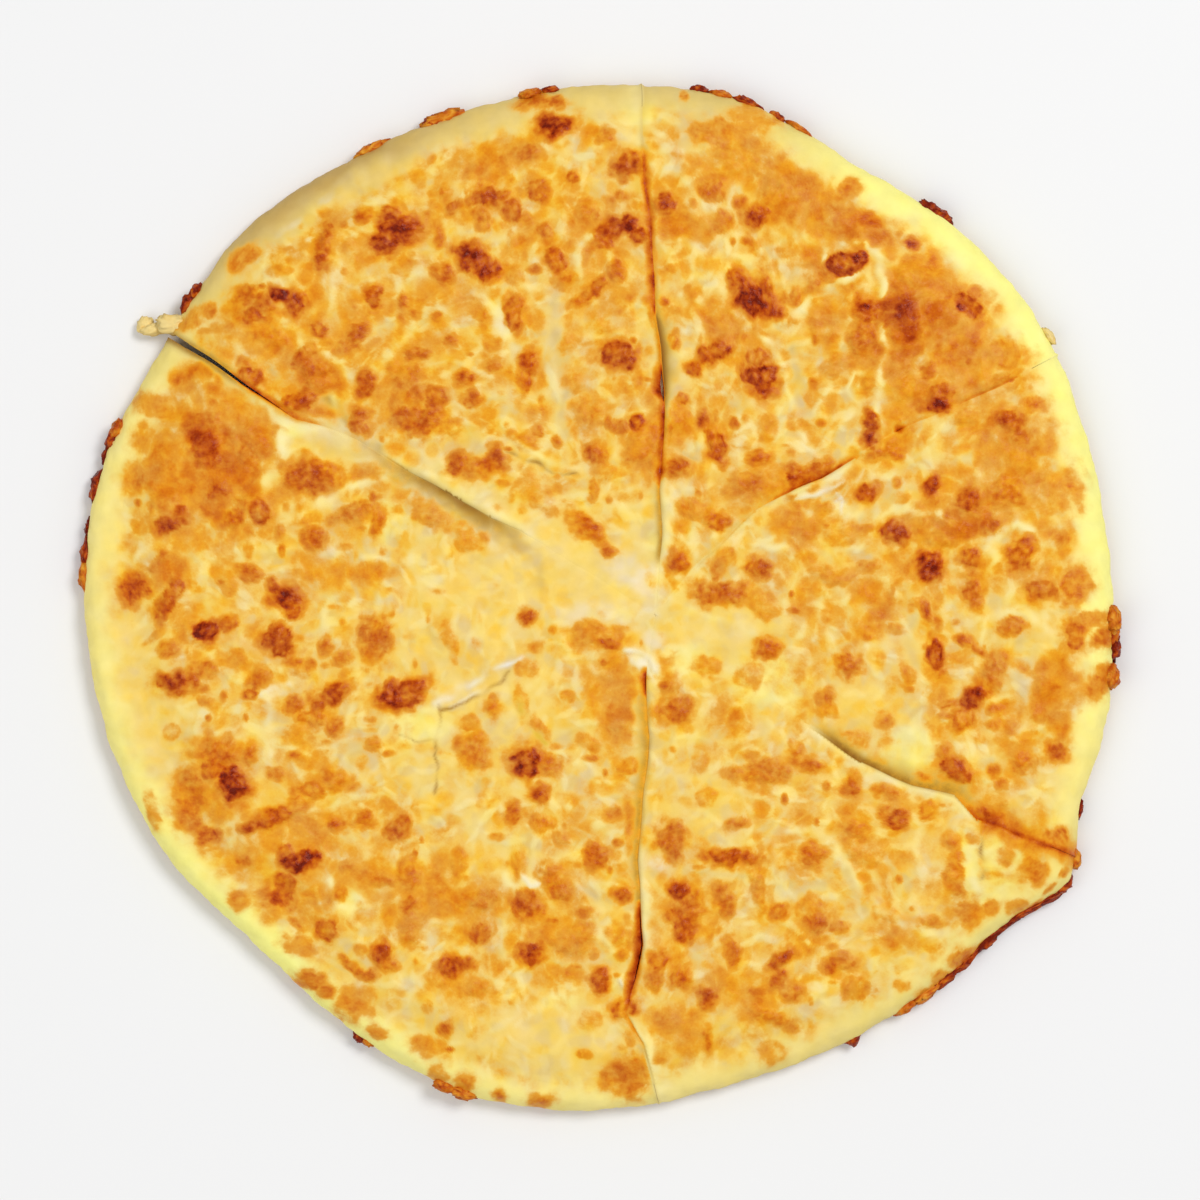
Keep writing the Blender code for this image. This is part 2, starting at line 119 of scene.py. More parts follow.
LOW_GAPS = {
    "right_front": ((40, 0.1), (60, 0.2), (120, 0.2), (134, 0.05)),
    "right_back": ((40, 0.1), (120, 0.1), (134, 0.03)),
    "back": ((25, 0.1), (56, 0.1), (61, 0.02), (70, 0.02), (76, 0.2), (130, 0.2), (146, 0.04)),
    "left": (
        (75, 0.1), (118, 0.2), (131, 0.2, 0.4), (141, 0.25, 0.8), (150, 0.3, 1.1),
        (163, 0.35, 1.3),
    ),
    "front": ((17, 0.1), (25, 0.2), (100, 0.4), (120, 0.2), (134, 0.04)),
}  # fmt: skip
TOP_GAPS = {
    "right_front": ((60, -0.04), (140, -0.04)),
    "right_back": (
        (50, -0.04), (58, 0.05), (66, 0.0), (74, -0.04), (86, -0.04), (88, 0.06), (91, -0.04),
        (140, -0.04),
    ),
    "back": ((61, -0.04), (64, 0.7, 0.05), (67, 0.7, 0.05), (71, -0.04), (150, -0.02)),
    "left": (
        (112, -0.04), (120, 0.0, 0.02), (131, 0.08, 0.3), (141, 0.15, 0.75), (150, 0.2, 1.0),
        (163, 0.3, 1.2),
    ),
    "front": (
        (15, -0.04), (20, 0.08), (26, -0.02), (80, -0.02), (88, 0.12), (103, 0.15), (108, 0.0),
        (112, -0.04), (140, -0.04),
    ),
}  # fmt: skip

# How the melted cheese falls away beside each cut, on its anticlockwise side (1) and its
# clockwise side (-1): distance, depth, width of the fall, and how brown it is there. Depth and
# width also set the painted shade beside the cut and the painted dark line of shade in it.
CUT_SIDES = {
    ("right_front", 1): (
        (50, 0.0, 1.5, 0.0), (57, 0.4, 1.6, 0.1), (65, 0.8, 2.2, 0.14), (75, 1.1, 2.4, 0.16),
        (85, 1.2, 2.6, 0.18), (92, 1.6, 3.0, 0.22), (105, 1.6, 3.4, 0.26), (109, 1.7, 3.2, 0.5),
        (112, 1.8, 3.4, 0.86), (118, 1.6, 3.4, 0.6), (126, 1.4, 3.2, 0.5), (138, 0.8, 2.6, 0.46),
    ),
    ("right_front", -1): (
        (55, 0.0, 0.8, 0.0), (62, 0.3, 0.7, 0.05), (110, 0.35, 0.7, 0.1), (113, 1.1, 2.0, 0.72),
        (118, 1.1, 2.6, 0.6), (126, 1.0, 2.6, 0.56), (138, 0.8, 2.0, 0.46),
    ),
    ("right_back", 1): (
        (10, 0.0, 1.0, 0.0), (20, 0.3, 1.0, 0.15), (45, 0.45, 1.4, 0.3), (52, 0.9, 1.5, 0.5),
        (57, 1.4, 1.6, 0.88), (64, 1.3, 1.3, 0.8), (68, 0.9, 1.0, 0.55), (74, 0.5, 1.0, 0.35),
        (78, 0.15, 1.0, 0.0), (86, 0.2, 1.0, 0.0), (88, 1.2, 1.0, 0.8), (91, 0.5, 0.8, 0.4),
        (105, 0.3, 0.8, 0.3), (110, 0.6, 0.8, 0.55), (124, 0.6, 0.8, 0.55), (128, 0.2, 0.8, 0.1),
        (140, 0.2, 0.8, 0.0),
    ),
    ("right_back", -1): (
        (10, 0.0, 0.8, 0.0), (20, 0.25, 0.8, 0.1), (50, 0.3, 0.8, 0.05), (75, 0.3, 0.8, 0.0),
        (86, 0.1, 0.8, 0.0), (88, 0.9, 1.0, 0.7), (92, 0.3, 0.8, 0.2), (125, 0.3, 0.8, 0.3),
        (140, 0.2, 0.8, 0.0),
    ),
    ("back", 1): (
        (12, 0.0, 0.8, 0.0), (18, 0.7, 0.9, 0.2), (36, 0.7, 0.9, 0.24), (42, 1.2, 1.1, 0.75),
        (58, 1.3, 1.2, 0.85), (62, 1.0, 1.0, 0.7), (64, 1.8, 1.6, 1.0), (68, 1.8, 1.6, 0.98),
        (72, 0.7, 0.9, 0.4), (86, 0.6, 0.9, 0.35), (90, 1.0, 1.3, 0.75), (103, 1.0, 1.3, 0.72),
        (116, 0.9, 1.1, 0.7), (120, 0.8, 0.9, 0.62), (132, 0.7, 0.8, 0.58), (136, 0.4, 0.6, 0.1),
        (152, 0.3, 0.6, 0.1),
    ),
    ("back", -1): (
        (12, 0.0, 0.8, 0.0), (18, 0.3, 0.8, 0.1), (38, 0.4, 0.8, 0.2), (42, 1.0, 1.2, 0.7),
        (50, 0.6, 1.0, 0.4), (60, 0.6, 1.0, 0.2), (70, 1.4, 2.6, 0.1), (84, 1.3, 2.4, 0.1),
        (90, 0.6, 1.0, 0.3), (103, 0.6, 1.0, 0.4), (116, 0.9, 1.1, 0.66), (132, 0.7, 0.8, 0.5),
        (136, 0.3, 0.8, 0.1), (152, 0.3, 0.8, 0.1),
    ),
    ("left", 1): (
        (38, 0.0, 2.5, 0.0), (48, 0.4, 3.0, 0.0), (60, 0.65, 3.2, 0.05), (72, 0.65, 3.2, 0.1),
        (85, 0.5, 3.0, 0.2), (92, 0.3, 2.0, 0.2), (105, 0.1, 1.5, 0.0), (118, 0.5, 0.8, 0.3),
        (130, 0.7, 0.8, 0.35), (142, 0.8, 0.9, 0.2), (160, 0.8, 0.9, 0.15),
    ),
    ("left", -1): (
        (40, 0.0, 0.9, 0.0), (48, 0.3, 0.9, 0.0), (75, 0.4, 0.8, 0.0), (90, 0.3, 0.9, 0.1),
        (105, 0.1, 0.9, 0.0), (118, 0.6, 1.0, 0.6), (135, 0.9, 1.0, 0.7), (142, 0.7, 0.8, 0.25),
        (160, 0.6, 0.7, 0.15),
    ),
    ("front", 1): (
        (17, 0.2, 0.6, 0.0), (24, 0.35, 0.7, 0.15), (76, 0.35, 0.7, 0.1), (80, 0.3, 0.6, 0.0),
        (95, 0.3, 0.6, 0.0), (104, 0.7, 0.8, 0.5), (110, 0.6, 0.8, 0.6), (118, 0.4, 0.6, 0.15),
        (130, 0.2, 0.6, 0.0), (142, 0.2, 0.6, 0.0),
    ),
    ("front", -1): (
        (14, 0.0, 1.0, 0.0), (18, 1.1, 1.1, 0.88), (24, 1.3, 1.6, 0.27), (40, 1.2, 1.6, 0.25),
        (76, 1.1, 1.6, 0.25), (82, 0.7, 1.0, 0.24), (87, 1.6, 1.3, 0.85), (104, 1.6, 1.3, 0.95),
        (110, 1.0, 1.0, 0.8), (115, 0.6, 1.0, 0.5), (130, 0.4, 0.8, 0.08), (142, 0.3, 0.8, 0.0),
    ),
}  # fmt: skip

# Raised lips beside the cuts, with a painted highlight where they face the light: distance,
# how pale, and width.
NO_LIP = ((0, 0, 1),)
LIP_HIGHLIGHTS = {
    ("right_front", -1): (
        (48, 0.0, 2.0), (60, 0.7, 2.2), (90, 0.9, 2.6), (106, 1.0, 2.6), (112, 0.3, 1.5),
        (118, 0.8, 3.0), (138, 0.5, 2.0),
    ),
    ("right_back", -1): (
        (15, 0.3, 2.0), (45, 0.5, 2.0), (52, 1.0, 2.6), (66, 1.0, 3.0), (74, 0.3, 2.0),
        (90, 0.2, 1.5), (125, 0.2, 1.5),
    ),
    ("back", 1): (
        (16, 0.3, 2.0), (22, 0.6, 2.2), (38, 0.6, 2.2), (43, 0.0, 1.5), (70, 0.2, 2.0),
        (76, 0.7, 3.0), (84, 0.3, 2.0), (90, 0.0, 1.5), (133, 0.0, 2.0), (137, 0.6, 3.0),
        (152, 0.6, 4.0),
    ),
    ("back", -1): (
        (16, 0.5, 2.0), (22, 0.9, 2.8), (38, 0.8, 2.8), (44, 0.2, 2.0), (60, 0.6, 2.6),
        (66, 0.9, 2.6), (80, 0.5, 3.0), (92, 0.1, 2.0), (152, 0.0, 2.0),
    ),
    ("left", 1): (
        (95, 0.2, 3.0), (108, 0.6, 4.0), (116, 1.0, 4.0), (124, 0.8, 2.4), (140, 0.6, 2.0),
        (160, 0.5, 2.0),
    ),
    ("left", -1): (
        (38, 0.2, 3.0), (48, 0.9, 3.2), (78, 0.9, 3.2), (90, 0.5, 3.0), (104, 0.3, 2.4),
        (113, 0.6, 2.4), (118, 0.0, 1.5), (160, 0.0, 1.5),
    ),
    ("front", 1): (
        (16, 0.2, 1.6), (60, 0.4, 1.6), (76, 0.6, 2.0), (81, 1.0, 3.0), (93, 1.0, 3.0),
        (99, 0.3, 1.6), (106, 0.0, 1.5), (115, 0.3, 2.0), (122, 0.8, 3.0), (142, 0.9, 4.0),
    ),
    ("front", -1): ((108, 0.0, 1.5), (111, 0.9, 2.2), (118, 0.6, 2.0), (124, 0.1, 2.0)),
}  # fmt: skip

# Each slice lies anticlockwise of its first cut and clockwise of its second.
SLICES = {
    "right": ("right_front", "right_back"),
    "back_right": ("right_back", "back"),
    "back_left": ("back", "left"),
    "left": ("left", "front"),
    "front_right": ("front", "right_front"),
}

# Section through the rim, as in the frame.
POCKET_FLOOR = 3.6
POCKET_ROOF = 10.4
DOUGH_TOP = 13.0
FLAT_FROM = 18.0
OUTER_SECTION = (
    (FLAT_FROM, 0.0), (3.2, 0.0), (0.8, 1.8), (0.0, 4.8), (1.0, 8.0), (3.4, 10.6), (7.0, 12.0),
    (12.0, 12.75), (FLAT_FROM, DOUGH_TOP),
)  # fmt: skip
POCKET_SECTION = (
    (FLAT_FROM, POCKET_FLOOR), (13.6, 3.8), (11.9, 4.6), (11.1, 5.8), (11.0, 7.1), (11.3, 8.5),
    (12.4, 9.6), (14.6, 10.25), (FLAT_FROM, POCKET_ROOF),
)  # fmt: skip
LAYER_GAP = 0.04

# Melted cheese on top: how thick it is, how far in from its edge it is so, how finely the
# edge is measured and how it starts, how far inside the rim it lies, every 30 degrees, and
# its waves.
CHEESE_THICKNESS = 2.6
CHEESE_SHOULDER = 12.0
EDGE_SAMPLES = 600
EDGE_SUNK = 0.05
EDGE_RISE = 0.12
TOPPING_INSETS = (11.0, 10.0, 8.0, 6.0, 9.0, 7.0, 13.0, 14.0, 10.0, 8.0, 7.0, 9.0)
INSET_WAVES = (11, 17, 29)
INSET_SWAY = 0.7

# Mesh steps: over the melted cheese along its rows and between them, along the rim, over
# the cut faces, along them, round the pocket and its curve, and between the sparse points of
# flat sheets, which keep clear of the edges. Then the points and rows of a lump, the rows of
# the melted cheese's edge as shares of its height, how near points are welded, and how far
# lumps stay inside the box of the solids.
FINE = 0.66
FINE_ROWS = 0.9 * FINE
RIM_FINE = 0.85
CUT_FACE_STEP = 0.95
LIP_STEP = 2.5
POCKET_STEP = 4.0
POCKET_CURVE_STEP = 1.6
COARSE = 9.0
SHEET_CLEAR = 4.0
LUMP_TURNS = 25
LUMP_ROWS = 13
CHEESE_WALL = (0.0, 0.35, 0.7, 1.0)
WELD = 0.0001
BOX_CLEAR = 0.05

# Browned blisters and spots: place in the photo, half width and half height in pixels,
# anticlockwise turn in degrees, and how dark. A share of them is darker round a paler middle.
BLISTER_DARKNESS = 0.93
RINGED_BLISTERS = 0.25
BROWNED = (
    # rim
    (924, 779, 11, 6, -25, 0.58), (983, 812, 9, 7, -30, 0.88), (999, 826, 11, 5, -35, 0.62),
    (963, 964, 10, 13, 30, 0.56), (945, 983, 13, 7, -30, 0.42), (930, 996, 10, 6, -30, 0.4),
    (900, 985, 7, 5, 0, 0.36), (1063, 873, 6, 3, 35, 0.5), (1050, 889, 6, 3, 45, 0.5),
    (1036, 906, 7, 3, 35, 0.55), (1022, 918, 9, 3, 30, 0.5), (985, 950, 9, 4, 45, 0.5),
    (975, 962, 4, 9, -40, 0.6),
    # back left slice
    (244, 258, 14, 9, 35, 0.5), (326, 247, 8, 24, -10, 0.62), (323, 260, 6, 8, 0, 0.75),
    (329, 229, 7, 8, 0, 0.6), (363, 218, 9, 7, 0, 0.6), (393, 217, 13, 8, 0, 0.66),
    (383, 246, 15, 11, 0, 0.85), (402, 232, 19, 17, 20, 0.9), (413, 228, 12, 10, 0, 0.8),
    (247, 298, 12, 10, 0, 0.58), (255, 318, 13, 7, 0, 0.7), (266, 304, 13, 10, 0, 0.58),
    (283, 298, 12, 7, -20, 0.96), (297, 307, 11, 13, 0, 0.76), (190, 321, 15, 8, 30, 0.45),
    (213, 312, 6, 6, 0, 0.5), (224, 329, 10, 6, 0, 0.38), (375, 300, 9, 12, 0, 0.7),
    (321, 332, 9, 10, 0, 0.64), (358, 335, 10, 14, -30, 0.64), (346, 350, 10, 8, 30, 0.5),
    (270, 339, 20, 10, -15, 0.48), (304, 357, 12, 12, 0, 0.64), (315, 372, 14, 11, -40, 0.64),
    (320, 386, 12, 8, 0, 0.5), (252, 380, 14, 10, -20, 0.7), (246, 364, 6, 6, 0, 0.5),
    (366, 385, 10, 14, 0, 0.66), (393, 370, 6, 9, 0, 0.42), (301, 402, 16, 11, 0, 0.76),
    (353, 250, 7, 8, 0, 0.3), (281, 273, 9, 5, 0, 0.33), (530, 101, 13, 9, 10, 0.62),
    (553, 103, 12, 6, 0, 0.58), (556, 128, 17, 11, 10, 0.92), (605, 139, 8, 8, 45, 0.48),
    (528, 154, 13, 9, 0, 0.56), (573, 181, 6, 6, 0, 0.62), (538, 194, 11, 10, 0, 0.6),
    (454, 209, 9, 7, 40, 0.6), (491, 199, 20, 9, 10, 0.74), (513, 214, 14, 8, -45, 0.6),
    (481, 217, 9, 9, 0, 0.52), (484, 227, 7, 6, 0, 0.48), (544, 233, 9, 7, -30, 0.55),
    (528, 222, 9, 5, -30, 0.45), (472, 258, 18, 11, -20, 0.88), (487, 272, 13, 11, -40, 0.84),
    (446, 276, 10, 10, 0, 0.6), (515, 316, 9, 18, 0, 0.64), (482, 316, 7, 6, 0, 0.42),
    (438, 319, 5, 5, 0, 0.55), (405, 304, 5, 8, 0, 0.6), (415, 316, 6, 4, -40, 0.5),
    (556, 263, 10, 12, 0, 0.66), (564, 281, 8, 10, -40, 0.5), (596, 290, 15, 8, 45, 0.62),
    (579, 303, 11, 6, 25, 0.5), (617, 273, 9, 10, 0, 0.6), (630, 168, 15, 13, 0, 0.74),
    (586, 217, 12, 12, 0, 0.48), (609, 232, 14, 12, 0, 0.78), (627, 226, 12, 8, 30, 0.94),
    (639, 237, 9, 9, 0, 0.82), (603, 246, 8, 7, 0, 0.68), (619, 357, 17, 14, 10, 0.78),
    (530, 365, 9, 13, -10, 0.72), (525, 385, 6, 10, 0, 0.6), (566, 344, 10, 10, 0, 0.38),
    (464, 380, 9, 8, 30, 0.64), (494, 367, 8, 8, 0, 0.46), (473, 397, 9, 7, 0, 0.6),
    (451, 341, 6, 7, 0, 0.55), (418, 355, 13, 7, 0, 0.6), (410, 378, 14, 14, 0, 0.5),
    (438, 397, 12, 8, 0, 0.6), (415, 395, 14, 10, 0, 0.55), (599, 327, 9, 7, 0, 0.28),
    (573, 385, 10, 8, 0, 0.36), (512, 247, 5, 11, 0, 0.3), (515, 277, 9, 8, 0, 0.36),
    (441, 194, 9, 6, 0, 0.36), (415, 421, 27, 17, 0, 0.62), (436, 405, 8, 10, 0, 0.66),
    (425, 428, 11, 8, 0, 0.74), (451, 428, 10, 9, 0, 0.4), (474, 402, 8, 6, 0, 0.6),
    (459, 464, 9, 13, 0, 0.68), (477, 464, 14, 14, 0, 0.5), (494, 461, 13, 12, 0, 0.66),
    (525, 441, 14, 7, -30, 0.42), (538, 433, 5, 6, 0, 0.5), (558, 443, 5, 6, 0, 0.52),
    (589, 415, 14, 15, 0, 0.38), (617, 427, 16, 6, -15, 0.56), (637, 424, 8, 8, 0, 0.76),
    (594, 454, 9, 11, 0, 0.66), (604, 474, 10, 8, 0, 0.34), (593, 492, 5, 8, 0, 0.45),
    (640, 450, 17, 20, 0, 0.42), (641, 456, 6, 6, 0, 0.52), (589, 530, 21, 9, -40, 0.64),
    (609, 551, 7, 5, 0, 0.66), (533, 489, 16, 12, 0, 0.28), (543, 505, 14, 6, -25, 0.3),
    (655, 319, 4, 12, 10, 0.5),
    # back right slice
    (665, 207, 12, 11, 0, 0.76), (711, 194, 12, 9, 0, 0.56), (755, 218, 13, 11, 30, 0.8),
    (721, 224, 9, 9, 0, 0.5), (714, 133, 20, 10, 0, 0.46), (752, 120, 20, 12, 0, 0.36),
    (780, 189, 18, 24, 0, 0.4), (683, 96, 4, 6, 0, 0.5), (752, 304, 20, 15, -30, 0.98),
    (739, 283, 9, 14, 40, 0.74), (765, 288, 6, 14, 20, 0.7), (770, 315, 12, 7, 0, 0.84),
    (784, 321, 16, 6, 10, 0.48), (672, 342, 6, 9, 0, 0.6), (676, 314, 8, 5, 0, 0.38),
    (714, 355, 17, 10, 30, 0.76), (719, 344, 9, 7, 0, 0.6), (694, 370, 8, 7, 30, 0.7),
    (755, 357, 12, 8, 0, 0.6), (760, 380, 18, 15, 0, 0.88), (681, 399, 6, 5, 0, 0.6),
    (793, 298, 6, 10, 0, 0.48), (848, 191, 10, 9, 0, 0.48), (833, 212, 9, 5, 0, 0.32),
    (843, 265, 18, 11, 15, 0.86), (857, 260, 8, 7, 0, 0.98), (828, 278, 10, 7, 0, 0.52),
    (810, 291, 14, 7, 30, 0.5), (909, 245, 7, 6, 0, 0.78), (865, 311, 12, 14, 0, 0.76),
    (861, 340, 12, 18, 0, 0.56), (901, 319, 18, 26, 10, 0.6), (910, 334, 11, 11, 0, 0.52),
    (967, 308, 13, 13, 0, 0.8), (973, 293, 6, 7, 0, 0.6), (938, 319, 20, 15, 0, 0.42),
    (920, 281, 20, 13, 0, 0.38), (925, 372, 8, 8, 0, 0.6), (1002, 383, 22, 7, 15, 0.48),
    (1004, 357, 18, 12, 0, 0.44), (938, 395, 14, 9, 0, 0.66), (815, 332, 6, 14, 0, 0.42),
    (833, 367, 14, 8, 30, 0.38), (869, 383, 8, 14, 0, 0.4), (902, 383, 22, 18, 0, 0.36),
    (678, 420, 14, 16, 0, 0.46), (665, 425, 6, 26, 0, 0.6), (675, 468, 14, 10, 0, 0.7),
    (702, 420, 7, 9, 0, 0.7), (716, 447, 9, 19, 20, 0.7), (732, 424, 5, 5, 0, 0.6),
    (766, 428, 9, 11, 0, 0.38), (758, 458, 13, 7, 10, 0.66), (752, 487, 9, 7, 0, 0.6),
    (757, 484, 30, 15, 10, 0.4), (793, 484, 9, 14, 0, 0.82), (704, 515, 22, 9, -25, 0.4),
    (717, 522, 12, 8, 0, 0.66), (683, 507, 6, 5, 0, 0.5), (675, 563, 10, 12, 20, 0.66),
    (721, 558, 12, 8, 40, 0.4), (938, 405, 12, 8, 0, 0.96), (922, 410, 8, 5, 0, 0.6),
    (869, 424, 7, 16, 0, 0.76), (869, 441, 8, 10, 0, 0.82), (878, 453, 18, 9, 0, 0.54),
    (887, 443, 10, 6, 0, 0.5), (810, 475, 22, 8, 28, 0.66), (803, 488, 13, 4, 20, 0.76),
    (740, 160, 30, 14, 0, 0.3),
    # right slice
    (755, 566, 13, 9, 0, 0.66), (762, 573, 6, 5, 0, 0.7), (719, 593, 27, 10, -5, 0.62),
    (762, 604, 14, 12, 0, 0.32), (1004, 420, 12, 10, 0, 0.8), (1017, 430, 12, 15, 30, 0.64),
    (1032, 405, 12, 8, 0, 0.5), (963, 418, 11, 8, 0, 0.4), (902, 433, 9, 4, 20, 0.5),
    (864, 494, 11, 10, 20, 0.78), (929, 488, 9, 10, 0, 0.88), (930, 497, 10, 6, 0, 0.5),
    (899, 498, 7, 6, 0, 0.3), (966, 501, 14, 10, 0, 0.7), (1000, 494, 18, 14, 0, 0.54),
    (989, 527, 12, 9, 0, 0.6), (943, 532, 30, 13, 0, 0.42), (967, 559, 10, 9, 0, 0.66),
    (1050, 489, 22, 22, 0, 0.34), (1068, 484, 5, 5, 0, 0.5), (1060, 539, 7, 8, 0, 0.5),
    (894, 533, 13, 11, 0, 0.78), (867, 528, 8, 4, 0, 0.46), (821, 507, 12, 8, 0, 0.4),
    (841, 533, 18, 10, 0, 0.3), (928, 566, 14, 14, 0, 0.88), (867, 567, 11, 6, 20, 0.46),
    (901, 584, 6, 7, 0, 0.34), (1017, 554, 13, 19, 0, 0.66), (1038, 589, 14, 11, 0, 0.6),
    (1070, 585, 15, 15, 0, 0.52), (969, 592, 9, 11, 0, 0.66), (973, 606, 8, 8, 0, 0.5),
    (925, 614, 5, 12, 20, 0.62), (915, 603, 9, 4, -20, 0.46), (1009, 627, 13, 8, 0, 0.56),
    (831, 576, 18, 10, -10, 0.4), (861, 594, 8, 11, 30, 0.32), (860, 627, 8, 6, 0, 0.35),
    (894, 630, 11, 5, 0, 0.36), (1073, 635, 12, 14, 0, 0.6), (1103, 637, 11, 9, 30, 0.62),
    (1083, 619, 22, 5, 5, 0.44), (1103, 675, 14, 8, 20, 0.56), (1093, 691, 10, 9, 0, 0.5),
    (962, 640, 8, 6, -30, 0.6), (976, 649, 9, 4, -30, 0.55), (934, 655, 8, 16, 0, 0.86),
    (938, 673, 6, 6, 0, 0.5), (906, 675, 7, 8, 0, 0.46), (846, 663, 12, 13, 0, 0.6),
    (825, 698, 8, 9, 0, 0.5), (823, 711, 10, 6, 0, 0.4), (991, 671, 11, 18, -15, 0.52),
    (971, 698, 14, 9, 38, 0.9), (960, 718, 13, 10, 38, 0.56), (945, 703, 10, 4, 10, 0.5),
    (994, 709, 8, 6, 0, 0.5), (882, 719, 8, 7, 0, 0.46), (851, 739, 15, 9, 0, 0.4),
    (1040, 686, 9, 10, 0, 0.48), (1037, 716, 9, 6, 0, 0.46), (1009, 727, 6, 9, 0, 0.46),
    (1055, 750, 11, 10, 0, 0.66), (1019, 762, 12, 10, 0, 0.52), (943, 752, 8, 8, 0, 0.5),
    (956, 770, 17, 12, -20, 0.76), (767, 649, 12, 10, 0, 0.66), (749, 675, 10, 12, 0, 0.3),
    (1018, 464, 14, 12, 0, 0.36), (1028, 442, 10, 14, 0, 0.4), (1054, 838, 13, 8, 0, 0.7),
    # left slice
    (301, 409, 12, 7, 0, 0.7), (360, 423, 12, 14, 0, 0.64), (209, 420, 13, 10, 0, 0.55),
    (207, 446, 14, 15, 0, 0.72), (212, 462, 12, 7, 0, 0.62), (222, 490, 12, 8, 0, 0.66),
    (255, 437, 24, 15, 0, 0.44), (247, 454, 7, 14, 0, 0.58), (245, 474, 6, 8, 0, 0.54),
    (311, 476, 25, 16, -15, 0.68), (143, 441, 10, 12, 0, 0.4), (158, 405, 20, 10, 0, 0.4),
    (143, 482, 15, 12, 0, 0.48), (168, 502, 14, 10, 0, 0.46), (171, 523, 16, 11, 0, 0.76),
    (182, 514, 8, 8, 0, 0.72), (235, 520, 14, 8, 30, 0.62), (263, 512, 10, 12, 0, 0.66),
    (250, 504, 16, 9, 0, 0.5), (281, 533, 6, 7, 0, 0.44), (315, 538, 11, 12, 0, 0.62),
    (354, 515, 24, 9, 15, 0.5), (377, 524, 6, 14, 0, 0.56), (383, 468, 14, 6, 15, 0.32),
    (135, 590, 15, 16, 0, 0.72), (166, 556, 9, 6, 60, 0.5), (158, 571, 6, 5, 0, 0.46),
    (170, 604, 9, 20, -20, 0.66), (179, 586, 8, 10, 0, 0.62), (251, 573, 11, 9, 0, 0.6),
    (288, 597, 16, 13, -20, 0.88), (275, 587, 8, 8, 0, 0.7), (295, 612, 8, 6, 0, 0.7),
    (227, 548, 10, 5, 30, 0.3), (230, 584, 8, 10, 0, 0.34), (210, 631, 12, 9, 10, 0.98),
    (231, 624, 10, 8, 20, 0.62), (189, 630, 14, 9, 0, 0.4), (204, 642, 14, 5, -10, 0.42),
    (156, 637, 10, 4, 35, 0.34), (173, 649, 10, 7, 0, 0.5), (281, 641, 18, 14, 0, 0.78),
    (278, 629, 8, 7, 0, 0.6), (327, 646, 7, 9, 0, 0.56), (343, 658, 9, 7, 20, 0.5),
    (240, 658, 8, 9, 0, 0.44), (378, 640, 13, 20, 0, 0.6), (204, 670, 16, 9, 0, 0.5),
    (176, 682, 18, 10, -10, 0.76), (194, 679, 12, 9, 20, 0.62), (207, 700, 8, 4, -30, 0.4),
    (260, 677, 10, 12, 0, 0.56), (253, 693, 8, 6, 0, 0.66), (301, 670, 12, 5, -10, 0.3),
    (334, 693, 17, 9, 22, 0.78), (320, 703, 9, 9, 0, 0.62), (296, 706, 9, 8, 0, 0.62),
    (314, 719, 14, 9, 0, 0.5), (337, 727, 10, 9, 0, 0.56), (296, 736, 15, 8, 0, 0.34),
    (393, 697, 14, 13, 0, 0.88), (394, 685, 8, 8, 0, 0.7), (413, 692, 16, 11, 20, 0.78),
    (372, 742, 8, 7, 0, 0.44), (278, 774, 9, 6, 0, 0.5), (222, 755, 21, 17, 0, 0.6),
    (214, 767, 13, 10, 0, 0.62), (194, 782, 14, 16, 30, 0.5), (235, 783, 13, 15, 30, 0.95),
    (251, 755, 8, 12, 0, 0.56), (332, 778, 20, 10, 10, 0.48), (316, 789, 12, 8, 0, 0.5),
    (173, 732, 6, 6, 0, 0.28), (433, 515, 18, 9, -35, 0.4), (466, 540, 9, 12, 30, 0.38),
    (418, 505, 9, 4, -20, 0.34), (528, 617, 7, 6, 20, 0.74), (596, 637, 24, 12, 0, 0.44),
    (607, 642, 11, 7, 0, 0.66), (528, 667, 10, 8, 0, 0.34), (493, 707, 8, 9, 0, 0.5),
    (474, 750, 14, 16, 0, 0.5), (471, 724, 8, 8, 0, 0.4), (528, 760, 18, 15, 0, 0.84),
    (547, 765, 13, 9, -30, 0.56), (522, 704, 5, 14, 10, 0.34), (540, 727, 5, 13, 40, 0.4),
    (451, 640, 6, 16, 15, 0.28), (540, 793, 9, 9, 0, 0.72), (589, 742, 12, 7, -20, 0.34),
    (568, 696, 6, 6, 0, 0.34), (627, 767, 9, 7, 0, 0.46), (614, 724, 9, 6, 0, 0.42),
    (194, 808, 16, 20, 0, 0.56), (207, 833, 12, 10, -30, 0.66), (153, 810, 6, 16, 15, 0.26),
    (253, 826, 13, 6, 15, 0.76), (277, 815, 22, 8, 20, 0.72), (298, 805, 12, 7, 20, 0.5),
    (337, 823, 9, 8, 0, 0.66), (365, 818, 11, 9, 0, 0.6), (393, 828, 9, 9, 0, 0.62),
    (244, 859, 16, 12, 0, 0.36), (244, 859, 8, 8, 0, 0.54), (301, 860, 16, 11, 15, 0.95),
    (288, 851, 8, 8, 0, 0.62), (316, 855, 8, 6, 0, 0.92), (286, 884, 10, 10, 0, 0.66),
    (278, 897, 14, 12, 0, 0.72), (268, 894, 8, 7, 0, 0.5), (240, 899, 8, 8, 0, 0.46),
    (339, 894, 8, 9, 0, 0.5), (385, 879, 16, 6, 0, 0.5), (349, 864, 8, 5, 0, 0.46),
    (329, 928, 10, 13, 0, 0.6), (297, 922, 9, 4, -50, 0.5), (301, 945, 14, 9, -10, 0.4),
    (383, 951, 10, 12, 0, 0.76), (390, 964, 9, 6, 0, 0.5), (355, 966, 13, 5, -30, 0.56),
    (370, 973, 9, 6, 0, 0.6), (311, 979, 14, 7, 0, 0.6), (327, 989, 8, 7, 0, 0.55),
    (357, 1002, 16, 14, 0, 0.46), (378, 1031, 9, 6, 0, 0.46), (403, 826, 8, 12, 0, 0.6),
